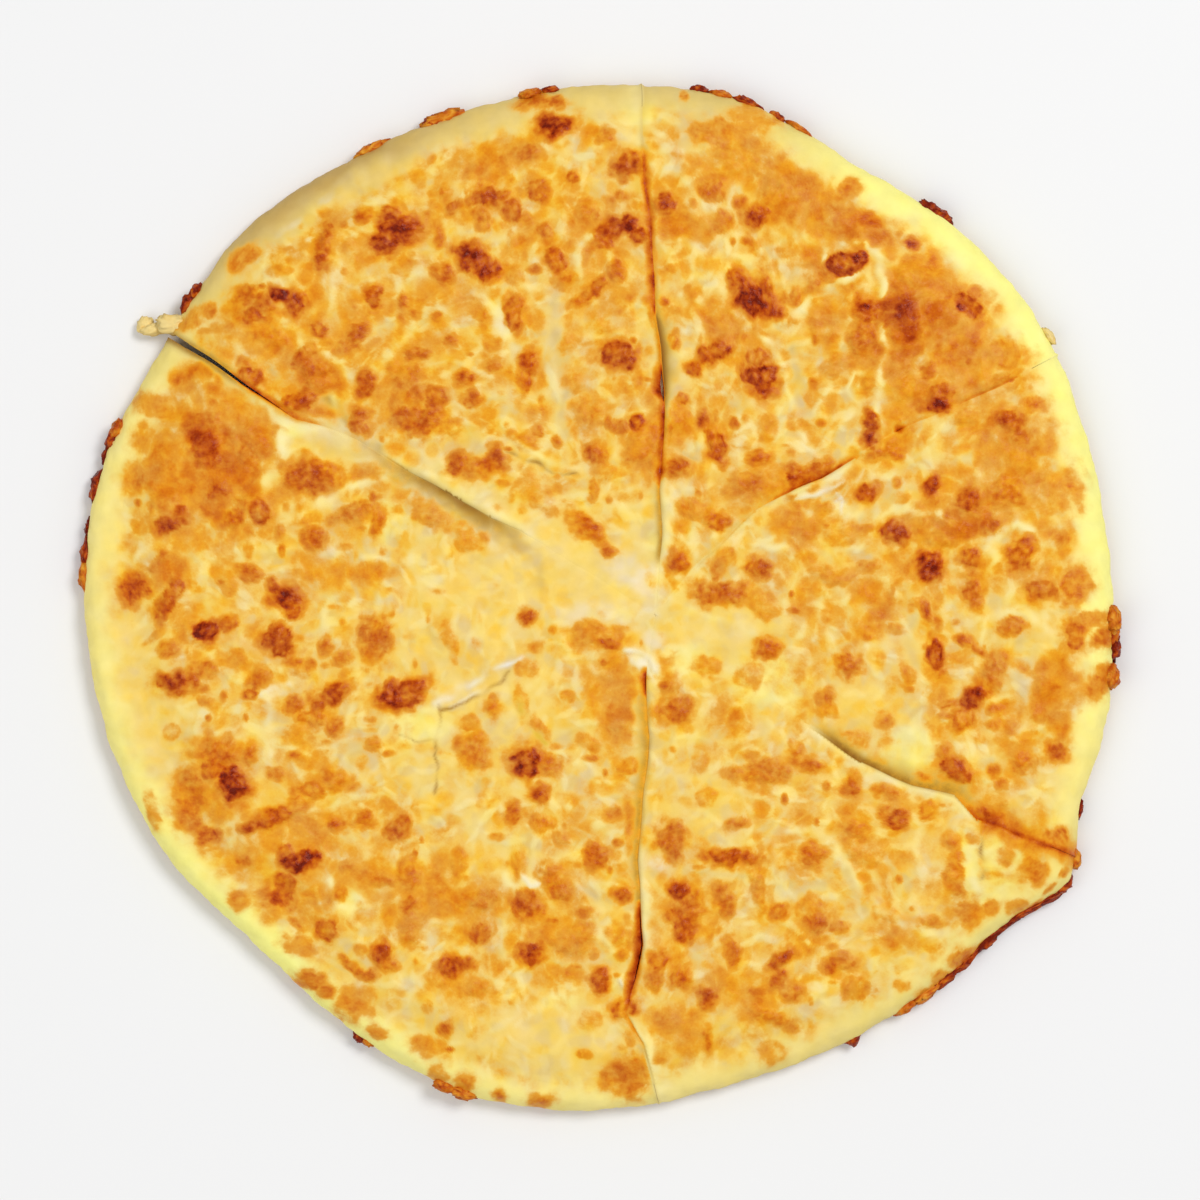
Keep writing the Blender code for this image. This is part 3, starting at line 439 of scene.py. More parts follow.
    (410, 874, 10, 14, 0, 0.5), (410, 902, 8, 10, 0, 0.6), (410, 925, 10, 16, 0, 0.44),
    (513, 813, 7, 11, 0, 0.6), (543, 822, 11, 7, 0, 0.5), (563, 837, 8, 7, 0, 0.4),
    (596, 854, 11, 12, 0, 0.62), (550, 874, 12, 12, 0, 0.5), (460, 861, 7, 12, 0, 0.38),
    (484, 899, 22, 9, 10, 0.46), (526, 902, 14, 14, 0, 0.68), (561, 889, 10, 12, -20, 0.56),
    (520, 866, 6, 14, 0, 0.34), (479, 931, 12, 10, 0, 0.62), (533, 952, 14, 9, 0, 0.82),
    (573, 937, 20, 13, 20, 0.42), (594, 950, 5, 6, 0, 0.4), (456, 964, 16, 10, 0, 0.78),
    (474, 986, 16, 9, 0, 0.4), (438, 978, 12, 8, 0, 0.38), (570, 971, 9, 7, 0, 0.44),
    (601, 978, 7, 11, 10, 0.74), (622, 893, 10, 8, 0, 0.66), (619, 935, 14, 10, 0, 0.36),
    (624, 1006, 13, 9, 0, 0.72), (446, 1028, 7, 7, 0, 0.6), (427, 1045, 14, 10, 0, 0.4),
    (428, 1004, 5, 6, 0, 0.3), (584, 1051, 6, 5, 0, 0.44), (589, 1019, 10, 8, -30, 0.3),
    (631, 1035, 6, 8, 0, 0.4), (627, 1075, 20, 17, 0, 0.54), (438, 1073, 8, 7, 0, 0.32),
    (464, 1083, 10, 9, 0, 0.5), (499, 1097, 6, 7, 0, 0.5), (541, 1101, 11, 8, 0, 0.52),
    # front right slice
    (677, 709, 14, 13, 20, 0.62), (670, 686, 8, 12, 0, 0.4), (706, 665, 11, 7, 0, 0.36),
    (765, 770, 28, 10, 5, 0.5), (734, 772, 10, 7, 0, 0.46), (794, 755, 8, 10, 0, 0.5),
    (698, 765, 8, 10, -40, 0.26), (706, 795, 9, 7, 0, 0.28), (811, 763, 9, 8, 0, 0.6),
    (851, 783, 8, 12, -20, 0.62), (887, 790, 12, 8, 0, 0.5), (670, 839, 13, 17, 0, 0.62),
    (734, 823, 11, 6, 10, 0.5), (732, 856, 27, 8, 0, 0.72), (679, 887, 11, 9, 0, 0.88),
    (683, 909, 18, 16, 0, 0.62), (684, 928, 9, 11, 0, 0.74), (723, 900, 9, 18, 10, 0.6),
    (757, 887, 6, 22, 10, 0.44), (778, 910, 8, 9, 0, 0.56), (658, 958, 11, 7, 0, 0.62),
    (653, 973, 8, 16, 0, 0.5), (681, 976, 12, 12, 0, 0.56), (732, 950, 9, 14, 20, 0.56),
    (780, 958, 18, 9, 30, 0.68), (775, 978, 9, 9, 0, 0.62), (791, 989, 12, 9, 0, 0.5),
    (707, 994, 10, 10, 0, 0.68), (766, 1014, 22, 7, -20, 0.52), (785, 1021, 14, 6, -25, 0.5),
    (706, 1037, 5, 14, 0, 0.5), (668, 1019, 14, 12, 0, 0.38), (770, 1052, 11, 10, 0, 0.34),
    (811, 855, 12, 12, 0, 0.58), (855, 828, 13, 8, -30, 0.52), (895, 817, 9, 12, 0, 0.72),
    (884, 811, 7, 6, 0, 0.5), (925, 809, 9, 8, 0, 0.46), (859, 851, 20, 12, -20, 0.34),
    (815, 920, 10, 11, -30, 0.58), (810, 905, 14, 9, 0, 0.4), (836, 925, 10, 5, 0, 0.46),
    (903, 855, 8, 4, -20, 0.3), (859, 883, 5, 4, 0, 0.34), (953, 874, 8, 20, 5, 0.5),
    (950, 841, 8, 9, 0, 0.46), (971, 836, 6, 6, 0, 0.36), (968, 909, 13, 13, 0, 0.5),
    (990, 908, 8, 8, 0, 0.46), (1017, 907, 10, 7, 0, 0.4), (887, 912, 16, 5, -25, 0.35),
    (928, 921, 14, 6, 0, 0.42), (829, 964, 9, 8, 20, 0.62), (838, 960, 16, 7, 10, 0.5),
    (855, 986, 10, 14, 0, 0.42), (898, 986, 4, 4, 0, 0.34), (968, 963, 10, 12, 30, 0.62),
    (940, 987, 17, 6, 25, 0.5), (1004, 855, 8, 8, 0, 0.34), (1032, 869, 13, 11, 40, 0.52),
)  # fmt: skip

# Broad golden areas, in the same way.
GOLDEN = (
    (724, 322, 32, 34, 0, 0.42), (824, 322, 26, 30, 0, 0.42), (322, 374, 28, 22, 0, 0.5),
    (962, 520, 40, 26, 0, 0.54), (776, 675, 28, 24, 0, 0.46), (872, 604, 28, 42, 0, 0.4),
    (796, 522, 44, 20, 0, 0.4), (374, 575, 26, 18, 0, 0.36), (322, 240, 24, 34, 0, 0.36),
    (622, 704, 18, 50, 0, 0.44), (632, 826, 11, 34, 0, 0.44), (176, 372, 26, 20, 0, 0.64),
    (322, 424, 28, 24, 0, 0.42), (662, 428, 22, 26, 0, 0.44), (172, 572, 22, 24, 0, 0.4),
    (912, 318, 58, 88, -30, 0.46), (893, 318, 26, 40, 0, 0.6), (1015, 445, 50, 60, 0, 0.4),
    (905, 322, 17, 24, 0, 0.76), (205, 440, 24, 34, 20, 0.68), (850, 226, 62, 26, -35, 0.5),
    (816, 262, 26, 18, 0, 0.42), (400, 172, 50, 18, 30, 0.32), (930, 524, 64, 26, 0, 0.38),
    (285, 376, 46, 30, -30, 0.36), (322, 572, 42, 20, 0, 0.34), (312, 822, 32, 20, 0, 0.42),
    (372, 870, 28, 22, 0, 0.38), (372, 474, 28, 20, 0, 0.4), (690, 228, 46, 24, 0, 0.42),
    (1065, 690, 60, 45, 0, 0.42), (225, 465, 88, 78, 0, 0.42), (236, 474, 50, 50, 0, 0.55),
    (195, 375, 50, 24, 35, 0.42), (262, 340, 60, 30, -35, 0.36), (285, 850, 60, 60, 0, 0.36),
    (450, 893, 95, 42, 5, 0.36), (560, 932, 45, 28, 0, 0.36), (693, 1035, 45, 42, 0, 0.36),
    (612, 700, 28, 62, 10, 0.34), (618, 655, 18, 24, 0, 0.38), (645, 450, 26, 34, 0, 0.4),
    (757, 485, 38, 20, 0, 0.42), (490, 160, 62, 22, 20, 0.36), (600, 285, 62, 50, 0, 0.3),
    (745, 128, 58, 30, -20, 0.4), (800, 195, 62, 48, -35, 0.4), (740, 990, 62, 38, 0, 0.34),
    (1005, 500, 55, 40, 0, 0.32), (820, 690, 30, 55, 0, 0.28), (450, 290, 45, 32, 0, 0.3),
    (412, 400, 45, 40, 0, 0.34), (350, 528, 42, 20, 15, 0.24), (462, 1000, 36, 28, 0, 0.3),
    (220, 785, 48, 48, 0, 0.36), (720, 500, 40, 40, 0, 0.28), (870, 800, 60, 30, -30, 0.22),
    (330, 350, 50, 40, 0, 0.28), (770, 330, 50, 70, 0, 0.24), (900, 530, 50, 40, 0, 0.24),
    (965, 640, 50, 60, 0, 0.22), (520, 1095, 45, 12, 10, 0.2), (950, 900, 50, 50, 0, 0.26),
    (690, 910, 50, 50, 0, 0.24), (300, 700, 60, 50, 0, 0.2), (250, 600, 80, 50, 0, 0.2),
    (815, 940, 60, 50, 0, 0.22), (640, 880, 16, 90, 0, 0.2), (180, 520, 40, 50, 0, 0.3),
    (962, 345, 36, 60, 0, 0.42), (945, 400, 70, 26, 15, 0.4), (630, 1070, 26, 22, 0, 0.5),
    (340, 290, 60, 50, 0, 0.22), (560, 200, 60, 50, 0, 0.22), (1085, 560, 26, 60, 0, 0.3),
    (310, 970, 60, 26, -35, 0.34), (1010, 880, 50, 30, 30, 0.3), (925, 925, 60, 16, 20, 0.36),
)  # fmt: skip

# Smooth pale melted cheese where no spots show, and the place that all of the cheese gets
# browner away from, between two distances.
PALE_MIDDLE = (480.0, 610.0)
PALE_REACH = (25.0, 85.0)
PALE = (
    (524, 676, 34, 24, 0, 0.8), (522, 766, 30, 36, 0, 0.75), (674, 824, 24, 30, 0, 0.75),
    (926, 926, 24, 24, 0, 0.5), (778, 735, 26, 36, 0, 0.4), (728, 470, 20, 18, 0, 0.4),
    (776, 468, 24, 18, 0, 0.4), (424, 1020, 50, 28, 0, 0.5), (722, 1020, 26, 24, 0, 0.5),
    (1025, 424, 20, 24, 0, 0.5), (1080, 574, 16, 24, 0, 0.5), (624, 172, 22, 22, 0, 0.8),
    (278, 874, 24, 20, 0, 0.6),
    (590, 565, 75, 40, -25, 1.0), (720, 635, 70, 42, -30, 1.0), (500, 600, 60, 50, 0, 0.6),
    (486, 708, 60, 60, 0, 0.75), (448, 770, 60, 30, 0, 0.4), (698, 790, 50, 54, 0, 0.5),
    (268, 786, 24, 30, 0, 0.5), (366, 975, 66, 28, -25, 0.4), (395, 652, 54, 40, 0, 0.4),
    (925, 836, 28, 22, 0, 0.5), (620, 620, 60, 26, -20, 0.4), (478, 862, 40, 20, 0, 0.4),
    (880, 268, 22, 22, 0, 0.4), (985, 612, 40, 30, 0, 0.3), (668, 852, 22, 34, 0, 0.5),
    (470, 660, 50, 35, 0, 0.5), (330, 445, 50, 22, -15, 1.0), (560, 1040, 70, 45, 0, 0.8),
    (130, 690, 50, 130, 10, 1.0), (860, 705, 45, 40, 0, 0.6), (700, 132, 22, 20, 0, 1.0),
    (480, 110, 60, 24, 25, 0.8), (380, 160, 90, 22, 35, 0.8), (920, 655, 20, 20, 0, 0.3),
    (1020, 630, 30, 22, 0, 0.6), (590, 105, 40, 20, 0, 0.6), (1080, 800, 30, 30, 0, 0.7),
)  # fmt: skip

# Greyish translucent cheese, and grey painted shade: along the valley of the left cut and on
# the upper-left rim, which lies in shade.
GREY_AND_SHADE = (
    (440, 497, 45, 10, -25, 0.9), (475, 528, 26, 12, -30, 0.7), (345, 440, 60, 20, -15, 0.6),
    (692, 128, 30, 32, 0, 0.8), (300, 590, 20, 16, 0, 0.5), (330, 612, 16, 20, 0, 0.6),
    (356, 742, 18, 14, 0, 0.6), (555, 365, 14, 30, 0, 0.6), (560, 230, 20, 14, 0, 0.5),
    (845, 640, 40, 30, 0, 0.35), (1015, 690, 16, 26, 0, 0.6), (998, 640, 34, 16, 0, 0.5),
    (860, 545, 22, 12, 0, 0.5), (905, 690, 20, 14, 0, 0.4), (590, 425, 10, 20, 0, 0.4),
    (870, 420, 30, 14, 0, 0.5), (700, 960, 14, 18, 0, 0.5), (635, 770, 18, 40, 0, 0.3),
    (850, 900, 18, 14, 0, 0.6), (780, 880, 14, 20, 0, 0.4), (320, 880, 14, 20, 0, 0.5),
    (610, 315, 12, 16, 0, 0.5), (735, 470, 20, 16, 0, 0.4), (940, 590, 14, 12, 0, 0.5),
    (510, 215, 26, 10, 0, 0.4), (880, 320, 14, 14, 0, 0.4), (600, 835, 20, 20, 0, 0.3),
    (380, 430, 40, 18, -20, 0.5), (830, 295, 24, 26, 0, 0.5), (1110, 800, 20, 60, 0, 0.3),
    (380, 150, 80, 16, 35, 0.7), (290, 205, 40, 14, 45, 0.7),
)  # fmt: skip

# Small lemon and white areas. The first five white ones and the one at 800, 497 are painted
# highlights: glints of light on the wet cheese.
LEMON = (
    (990, 888, 34, 16, 0, 0.6), (1002, 850, 24, 20, 0, 0.6), (962, 866, 18, 36, 0, 0.6),
    (298, 425, 18, 12, 0, 0.9), (690, 660, 20, 16, 0, 0.5), (905, 745, 30, 22, 0, 0.6),
    (1098, 655, 14, 8, 20, 1.0), (770, 680, 40, 26, -20, 0.6), (385, 525, 8, 26, 0, 0.5),
    (420, 725, 26, 20, 0, 0.6), (350, 900, 10, 18, 0, 0.5), (640, 105, 14, 22, 0, 0.5),
    (640, 1090, 22, 16, 0, 0.5), (606, 215, 10, 10, 0, 0.3), (560, 1000, 16, 10, 0, 0.3),
    (660, 545, 16, 12, 0, 0.4),
)  # fmt: skip
WHITE_AND_GLINTS = (
    (341, 182, 11, 4, 38, 0.8), (327, 199, 9, 4, 38, 0.9), (296, 225, 9, 4, 42, 0.8),
    (284, 233, 9, 4, 42, 0.6), (312, 241, 6, 3, 20, 0.6), (640, 575, 34, 16, -20, 0.5),
    (800, 497, 9, 4, 10, 0.7), (644, 661, 15, 10, -35, 1.0), (655, 640, 12, 8, 0, 0.5),
    (500, 325, 7, 18, -20, 0.5), (533, 880, 8, 5, 30, 0.6), (275, 690, 14, 8, 20, 0.5),
    (600, 620, 40, 16, 0, 0.35), (812, 985, 8, 6, 0, 0.5), (640, 862, 8, 10, 0, 0.3),
    (655, 862, 10, 8, 0, 0.6),
)  # fmt: skip

# How far marks reach, in their own radii or half widths.
AREA_REACH = 1.9
BLISTER_REACH = 3.4
FOLD_REACH = 3

# The broad and small areas by name, each with the seed of its ragged edge.
AREAS = {
    "pale": (PALE, 61),
    "golden": (GOLDEN, 63),
    "grey": (GREY_AND_SHADE, 65),
    "lemon": (LEMON, 67),
    "white": (WHITE_AND_GLINTS, 69),
}

# Melted shreds: spacing, half length, half width, share that shows, and seed. Scattered
# spots: spacing, least and largest radius, share that shows, and seed.
SHREDS = {
    "cream": (5.2, 3.2, 1.0, 0.62, 201),
    "waxy": (6.0, 2.6, 1.5, 0.5, 221),
    "buttery": (5.6, 2.2, 1.5, 0.6, 241),
}
SPECKS = ((8.0, (1.0, 2.4), 0.34, 81), (12.0, (1.6, 3.6), 0.36, 91))

# What the patterns of the melted cheese add to its browning, to the browning of its golden
# areas, to its richness and to its height.
BROWNING = {"clouds": 0.15, "pools": 0.12, "fine": 0.08, "veins": -0.06}
SHRED_BROWNING = {"buttery": 0.09, "cream": -0.09, "waxy": -0.06}
GOLD_BROWNING = {"fine": 0.3, "pools": 0.3, "buttery": 0.15, "cream": -0.16}
RICHNESS = {"buttery": 0.45, "waxy": -0.4, "grey": -0.4}
RAISED = {"veins": 0.15, "spots": 0.4, "cream": 0.22, "waxy": -0.1}

# Noise in the bread's relief and colours, as weights, scales and seeds. The first number
# brings plain noise to a reach of about -1 to 1.
NOISE_REACH = 1.7
SWELL = ((0.5, 38.0, 101), (0.45, 17.0, 103))
UNEVEN = ((0.24, 7.5, 105), (0.1, 3.2, 107))
RIM_UNEVEN = ((0.16, 6.0, 109), (0.05, 2.4, 111))
RIM_ROUGHNESS = ((0.45, 8.0, 141), (0.2, 2.4, 143))
BLISTER_CLUMPS = ((0.24, 2.5, 35), (0.22, 1.3, 36))
BLISTER_WRINKLES = ((0.5, 2.1, 37), (0.3, 1.1, 38))
LUMP_RAGGEDNESS = ((0.3, 1.7, 151), (0.18, 0.8, 153))

# Folds of the melted cheese that the photo shows: height, half width in pixels, colour,
# how strong, and their way through the photo. Those below zero are creases. Olive is painted
# shade in creases and valleys, grey is translucent cheese partly painted as shade beside
# ridges, and cream is pale cheese on raised strands with a painted highlight.
FOLDS = (
    (0.8, 5, "cream", 0.8, ((866, 247), (877, 262), (881, 283), (880, 305), (883, 330),
                            (880, 358), (876, 388), (877, 420))),
    (0.5, 4, "cream", 0.8, ((793, 314), (806, 301), (825, 290), (843, 282), (858, 274))),
    (0.4, 3, "cream", 0.7, ((816, 268), (826, 251), (844, 243), (862, 244), (874, 253))),
    (0.5, 5, "cream", 0.6, ((733, 312), (752, 329), (778, 328), (796, 318), (806, 303))),
    (0.5, 4, "cream", 0.7, ((758, 336), (774, 349), (783, 370), (785, 395), (795, 416),
                            (804, 442))),
    (0.0, 6, "grey", 0.8, ((790, 352), (797, 375), (799, 398), (806, 415))),
    (0.4, 4, "cream", 0.6, ((738, 238), (730, 260), (720, 284), (720, 306))),
    (0.3, 3, "cream", 0.6, ((866, 372), (852, 376), (846, 392), (856, 404), (866, 398))),
    (-0.5, 2, "olive", 0.9, ((672, 447), (684, 454), (697, 462))),
    (0.4, 5, "cream", 0.6, ((836, 511), (868, 516), (905, 511), (938, 515))),
    (0.4, 5, "cream", 0.8, ((993, 566), (991, 545), (999, 530), (1015, 524), (1029, 531))),
    (0.3, 4, "cream", 0.6, ((978, 644), (985, 620), (1005, 611), (1029, 615), (1042, 630))),
    (0.3, 4, "cream", 0.5, ((690, 612), (722, 620), (752, 630), (764, 640))),
    (0.4, 4, "cream", 0.5, ((765, 548), (790, 549), (820, 554), (856, 549), (882, 546))),
    (0.0, 7, "grey", 0.6, ((905, 590), (912, 612), (910, 640), (914, 668))),
    (0.0, 8, "grey", 0.6, ((1018, 640), (1030, 660), (1015, 682), (1022, 700))),
    (0.5, 5, "cream", 0.7, ((786, 829), (812, 827), (834, 842), (846, 868), (862, 893),
                            (884, 913), (912, 926), (944, 933))),
    (0.35, 4, "orange", 0.7, ((775, 868), (770, 848), (777, 830), (792, 818))),
    (0.3, 4, "orange", 0.6, ((872, 897), (890, 912), (912, 918))),
    (-0.9, 2.2, "olive", 0.9, ((981, 827), (979, 846), (980, 862), (982, 876))),
    (0.5, 6, "cream", 0.6, ((974, 834), (968, 850), (966, 868), (976, 886))),
    (0.3, 5, "grey", 0.6, ((700, 870), (725, 872), (752, 878))),
    (0.0, 7, "grey", 0.7, ((843, 868), (850, 890), (862, 905))),
    (0.6, 6, "cream", 1.0, ((284, 406), (289, 424), (286, 445), (280, 466), (271, 484))),
    (0.3, 3, "cream", 0.6, ((283, 470), (290, 455), (303, 447), (318, 453), (329, 470))),
    (0.4, 5, "cream", 0.6, ((322, 505), (340, 492), (362, 484), (386, 479))),
    (-0.5, 1.6, "olive", 0.7, ((441, 704), (441, 720), (437, 740), (438, 768), (436, 795))),
    (-0.35, 1.4, "olive", 0.5, ((437, 739), (420, 741), (401, 735))),
    (0.0, 4, "yellow", 0.8, ((520, 692), (523, 712), (532, 727), (546, 741))),
    (-0.6, 8, "olive", 0.75, ((328, 400), (348, 428), (372, 448), (400, 473), (432, 486),
                              (456, 502), (486, 523), (522, 546))),
    (-0.3, 6, "grey", 0.6, ((522, 546), (538, 566), (540, 590))),
    (-0.7, 2.4, "olive", 0.95, ((511, 452), (525, 460), (541, 467), (558, 474), (577, 476))),
    (0.4, 4, "cream", 0.7, ((516, 445), (533, 454), (552, 464), (576, 468))),
    (0.4, 6, "cream", 0.8, ((494, 306), (503, 324), (511, 346))),
    (0.0, 7, "grey", 0.8, ((553, 300), (557, 330), (553, 362))),
    (0.0, 8, "grey", 0.7, ((466, 412), (474, 432), (480, 452))),
    (0.0, 6, "grey", 0.7, ((567, 392), (560, 415), (563, 438))),
    (0.3, 4, "cream", 0.6, ((335, 398), (336, 414), (344, 428), (362, 436))),
    (0.3, 4, "cream", 0.6, ((392, 432), (412, 440), (438, 437), (458, 432))),
    (0.3, 5, "cream", 0.6, ((300, 345), (320, 350), (345, 364), (352, 380))),
    (0.0, 8, "olive", 0.5, ((270, 372), (285, 384), (292, 376))),
    (0.4, 5, "cream", 0.6, ((590, 235), (578, 256), (580, 276))),
    (0.4, 5, "orange", 0.5, ((240, 640), (262, 654), (300, 664))),
    (0.5, 5, "orange", 0.6, ((186, 622), (205, 642), (232, 640))),
    (0.3, 4, "cream", 0.6, ((262, 690), (276, 704), (270, 724), (280, 744), (308, 752))),
    (0.3, 4, "cream", 0.6, ((345, 690), (352, 704), (350, 722))),
    (0.0, 9, "grey", 0.5, ((345, 740), (358, 752), (352, 768))),
    (0.3, 4, "cream", 0.7, ((330, 878), (336, 898), (352, 912))),
    (0.4, 5, "cream", 0.6, ((430, 930), (436, 955), (424, 975), (400, 985))),
    (0.3, 5, "cream", 0.6, ((500, 870), (516, 885), (534, 880), (546, 864))),
    (-0.3, 3, "grey", 0.6, ((575, 880), (592, 892), (606, 906))),
    (0.4, 5, "cream", 0.6, ((604, 905), (602, 930), (612, 952))),
    (1.0, 4, "white", 1.0, ((436, 703), (450, 696), (466, 686), (482, 680), (498, 668),
                            (517, 658))),
    (0.8, 3, "white", 0.8, ((452, 706), (470, 697), (486, 688))),
    (-0.5, 2, "olive", 0.8, ((444, 708), (468, 702), (490, 690), (510, 672))),
    (0.9, 2, "white", 0.8, ((796, 500), (812, 496), (828, 490), (843, 481))),
    (0.6, 2, "white", 0.6, ((834, 502), (845, 494), (856, 482), (862, 470))),
    (0.5, 2, "white", 0.7, ((836, 492), (840, 503), (839, 515))),
    (1.1, 4, "white", 1.0, ((628, 648), (638, 652), (648, 660), (655, 671))),
    (0.8, 3, "white", 0.9, ((634, 662), (645, 668), (653, 680))),
    (-0.8, 1.6, "grey", 0.7, ((640, 657), (649, 664), (652, 672))),
    (1.3, 3.2, "white", 1.0, ((621, 978), (625, 987), (629, 1000))),
    (-0.5, 2, "grey", 0.8, ((822, 500), (838, 494), (853, 482))),
    (0.6, 3, "white", 0.7, ((262, 694), (276, 690), (290, 684))),
    (0.5, 3, "white", 0.8, ((522, 872), (530, 884), (541, 880))),
)  # fmt: skip

# Lumps that stand out of the rim: how brown each kind is, and its plain colour. Then each
# lump: its kind, place in the photo, half width and half height in pixels, anticlockwise
# turn, height of its middle, and half thickness. All but the nubs hug the rim, at their
# bearing there.
LUMP_LOOKS = {
    "burnt": (1.02, (214, 120, 50)),
    "red": (0.86, (232, 150, 60)),
    "orange": (0.56, (240, 170, 70)),
    "nub": (0.1, (250, 222, 146)),
}
LUMPS = {
    "back_left": (
        ("nub", 174, 325, 20, 10, -8, 5.6, 2.8), ("nub", 153, 328, 14, 6, 12, 3.6, 2.2),
        ("nub", 143, 324, 9, 8, 50, 2.6, 2.0), ("red", 179, 295, 13, 9, 0, 5.5, 2.6),
        ("red", 188, 286, 9, 6, 0, 6.5, 2.2), ("orange", 368, 143, 17, 5, 0, 6.0, 2.6),
        ("orange", 442, 114, 24, 8, 0, 5.5, 3.0), ("red", 430, 117, 10, 8, 0, 5.0, 2.6),
        ("orange", 530, 92, 12, 5, 0, 7.5, 3.0), ("red", 550, 89, 9, 4, 0, 6.0, 2.4),
    ),
    "back_right": (
        ("red", 700, 82, 10, 6, 0, 5.0, 2.4), ("orange", 722, 89, 12, 5, 0, 5.5, 2.4),
        ("red", 747, 104, 16, 6, 0, 5.0, 2.6), ("red", 778, 114, 9, 5, 0, 4.4, 2.4),
        ("orange", 800, 127, 14, 4, 0, 5.0, 2.4), ("burnt", 932, 208, 14, 8, 0, 4.6, 2.6),
        ("red", 941, 219, 14, 7, 0, 4.6, 2.6), ("nub", 1050, 336, 10, 4, -55, 6.0, 2.0),
    ),
    "right": (
        ("red", 1119, 632, 16, 8, 0, 4.6, 3.4), ("burnt", 1121, 648, 14, 8, 0, 4.2, 3.0),
        ("orange", 1105, 676, 12, 9, 0, 7.0, 3.2), ("orange", 1113, 620, 14, 8, 0, 7.6, 3.2),
        ("red", 1117, 672, 9, 6, 0, 4.6, 2.8), ("burnt", 1087, 813, 10, 4, 0, 3.4, 2.0),
        ("orange", 1074, 858, 10, 8, 0, 4.4, 2.4),
    ),
    "front_right": (
        ("red", 1064, 886, 13, 8, 0, 4.0, 2.6), ("burnt", 1049, 899, 20, 7, 0, 3.4, 2.4),
        ("red", 1030, 914, 22, 7, 0, 3.6, 2.6), ("burnt", 1012, 929, 22, 8, 0, 3.2, 2.6),
        ("burnt", 992, 945, 24, 9, 0, 3.2, 2.8), ("red", 972, 966, 22, 8, 0, 3.8, 2.8),
        ("red", 950, 986, 22, 8, 0, 4.0, 2.8), ("orange", 930, 1003, 22, 8, 0, 4.8, 2.8),
        ("orange", 912, 1014, 14, 6, 0, 5.0, 2.6), ("red", 857, 1047, 9, 8, 0, 3.6, 2.6),
    ),
    "left": (
        ("orange", 103, 424, 11, 7, 0, 6.0, 3.0), ("red", 104, 436, 12, 7, 0, 5.0, 3.0),
        ("burnt", 94, 452, 8, 5, 0, 3.6, 2.2), ("burnt", 88, 478, 12, 9, 0, 3.4, 2.8),
        ("red", 90, 490, 12, 8, 0, 4.0, 2.8), ("burnt", 80, 526, 10, 6, 0, 3.0, 2.4),
        ("red", 82, 552, 16, 7, 0, 3.6, 2.8), ("orange", 83, 575, 16, 7, 0, 4.4, 2.8),
        ("burnt", 355, 1046, 9, 9, 0, 3.6, 2.6), ("orange", 361, 1052, 8, 6, 0, 4.0, 2.4),
        ("orange", 460, 1098, 14, 7, 0, 6.5, 2.6), ("orange", 441, 1092, 12, 6, 0, 7.0, 2.6),
    ),
}  # fmt: skip

# Colours, as seen in the photo, where 255 is as bright as white paper there. The light is
# that much stronger than the colours are dimmed, so that surfaces that turn away keep up.
DIMMED = 0.85
PALE_CHEESE = (253, 218, 119)
YELLOW_CHEESE = (253, 200, 66)
# Grey cheese, which also paints shade in the grey areas and grey folds.
GREY_CHEESE_AND_SHADE = (229, 198, 126)
CREAM_VEIN = (252, 228, 146)
# The lemon and cream rim colours are painted brighter than white paper, as painted light; the
# olive rim colour is painted shade.
LEMON_WITH_LIGHT = (264, 258, 151)
CREAM_RIM_WITH_LIGHT = (264, 242, 150)
SHADED_RIM_OLIVE = (206, 170, 96)
# White curd, which also paints the highlights of glints on the cheese.
WHITE_CURD_AND_GLINT = (252, 240, 206)
# Pale cream, which also paints the highlights on the cuts' lips and on raised folds.
CREAM_AND_HIGHLIGHT = (260, 242, 166)
# Painted shade beside the cuts and in creases, and darker painted shade in the cuts' cracks.
OLIVE_SHADE = (186, 140, 60)
GROOVE_SHADE = (134, 82, 22)
ORANGE = (238, 158, 50)
FOLD_COLOURS = {
    "cream": CREAM_AND_HIGHLIGHT,
    "grey": GREY_CHEESE_AND_SHADE,
    "olive": OLIVE_SHADE,
    "orange": ORANGE,
    "yellow": (232, 190, 60),
    "white": WHITE_CURD_AND_GLINT,
}
# At the cuts: a painted highlight on the lips, painted shade beside them, and a darker line of
# painted shade in the crack.
CUT_COLOURS = {"pale": CREAM_AND_HIGHLIGHT, "shade": OLIVE_SHADE, "line": GROOVE_SHADE}
CRUMB = (240, 219, 168)
BAKED_BASE = (205, 150, 82)
UNDERSIDE = (
    (0.36, (240, 212, 150)), (0.5, (226, 180, 108)), (0.62, (196, 138, 72)), (0.78, (150, 92, 44)),
)  # fmt: skip
TOASTING = (
    (0.0, (251, 210, 104)), (0.2, (246, 189, 76)), (0.34, (239, 167, 52)), (0.5, (224, 132, 30)),
    (0.66, (204, 98, 18)), (0.82, (174, 64, 10)), (0.93, (146, 43, 7)), (1.0, (118, 28, 5)),
)  # fmt: skip

# What richer and paler cheese multiply the colours by.
RICHER = (1.05, 0.98, 0.42)
PALER = (0.95, 1.0, 1.6)

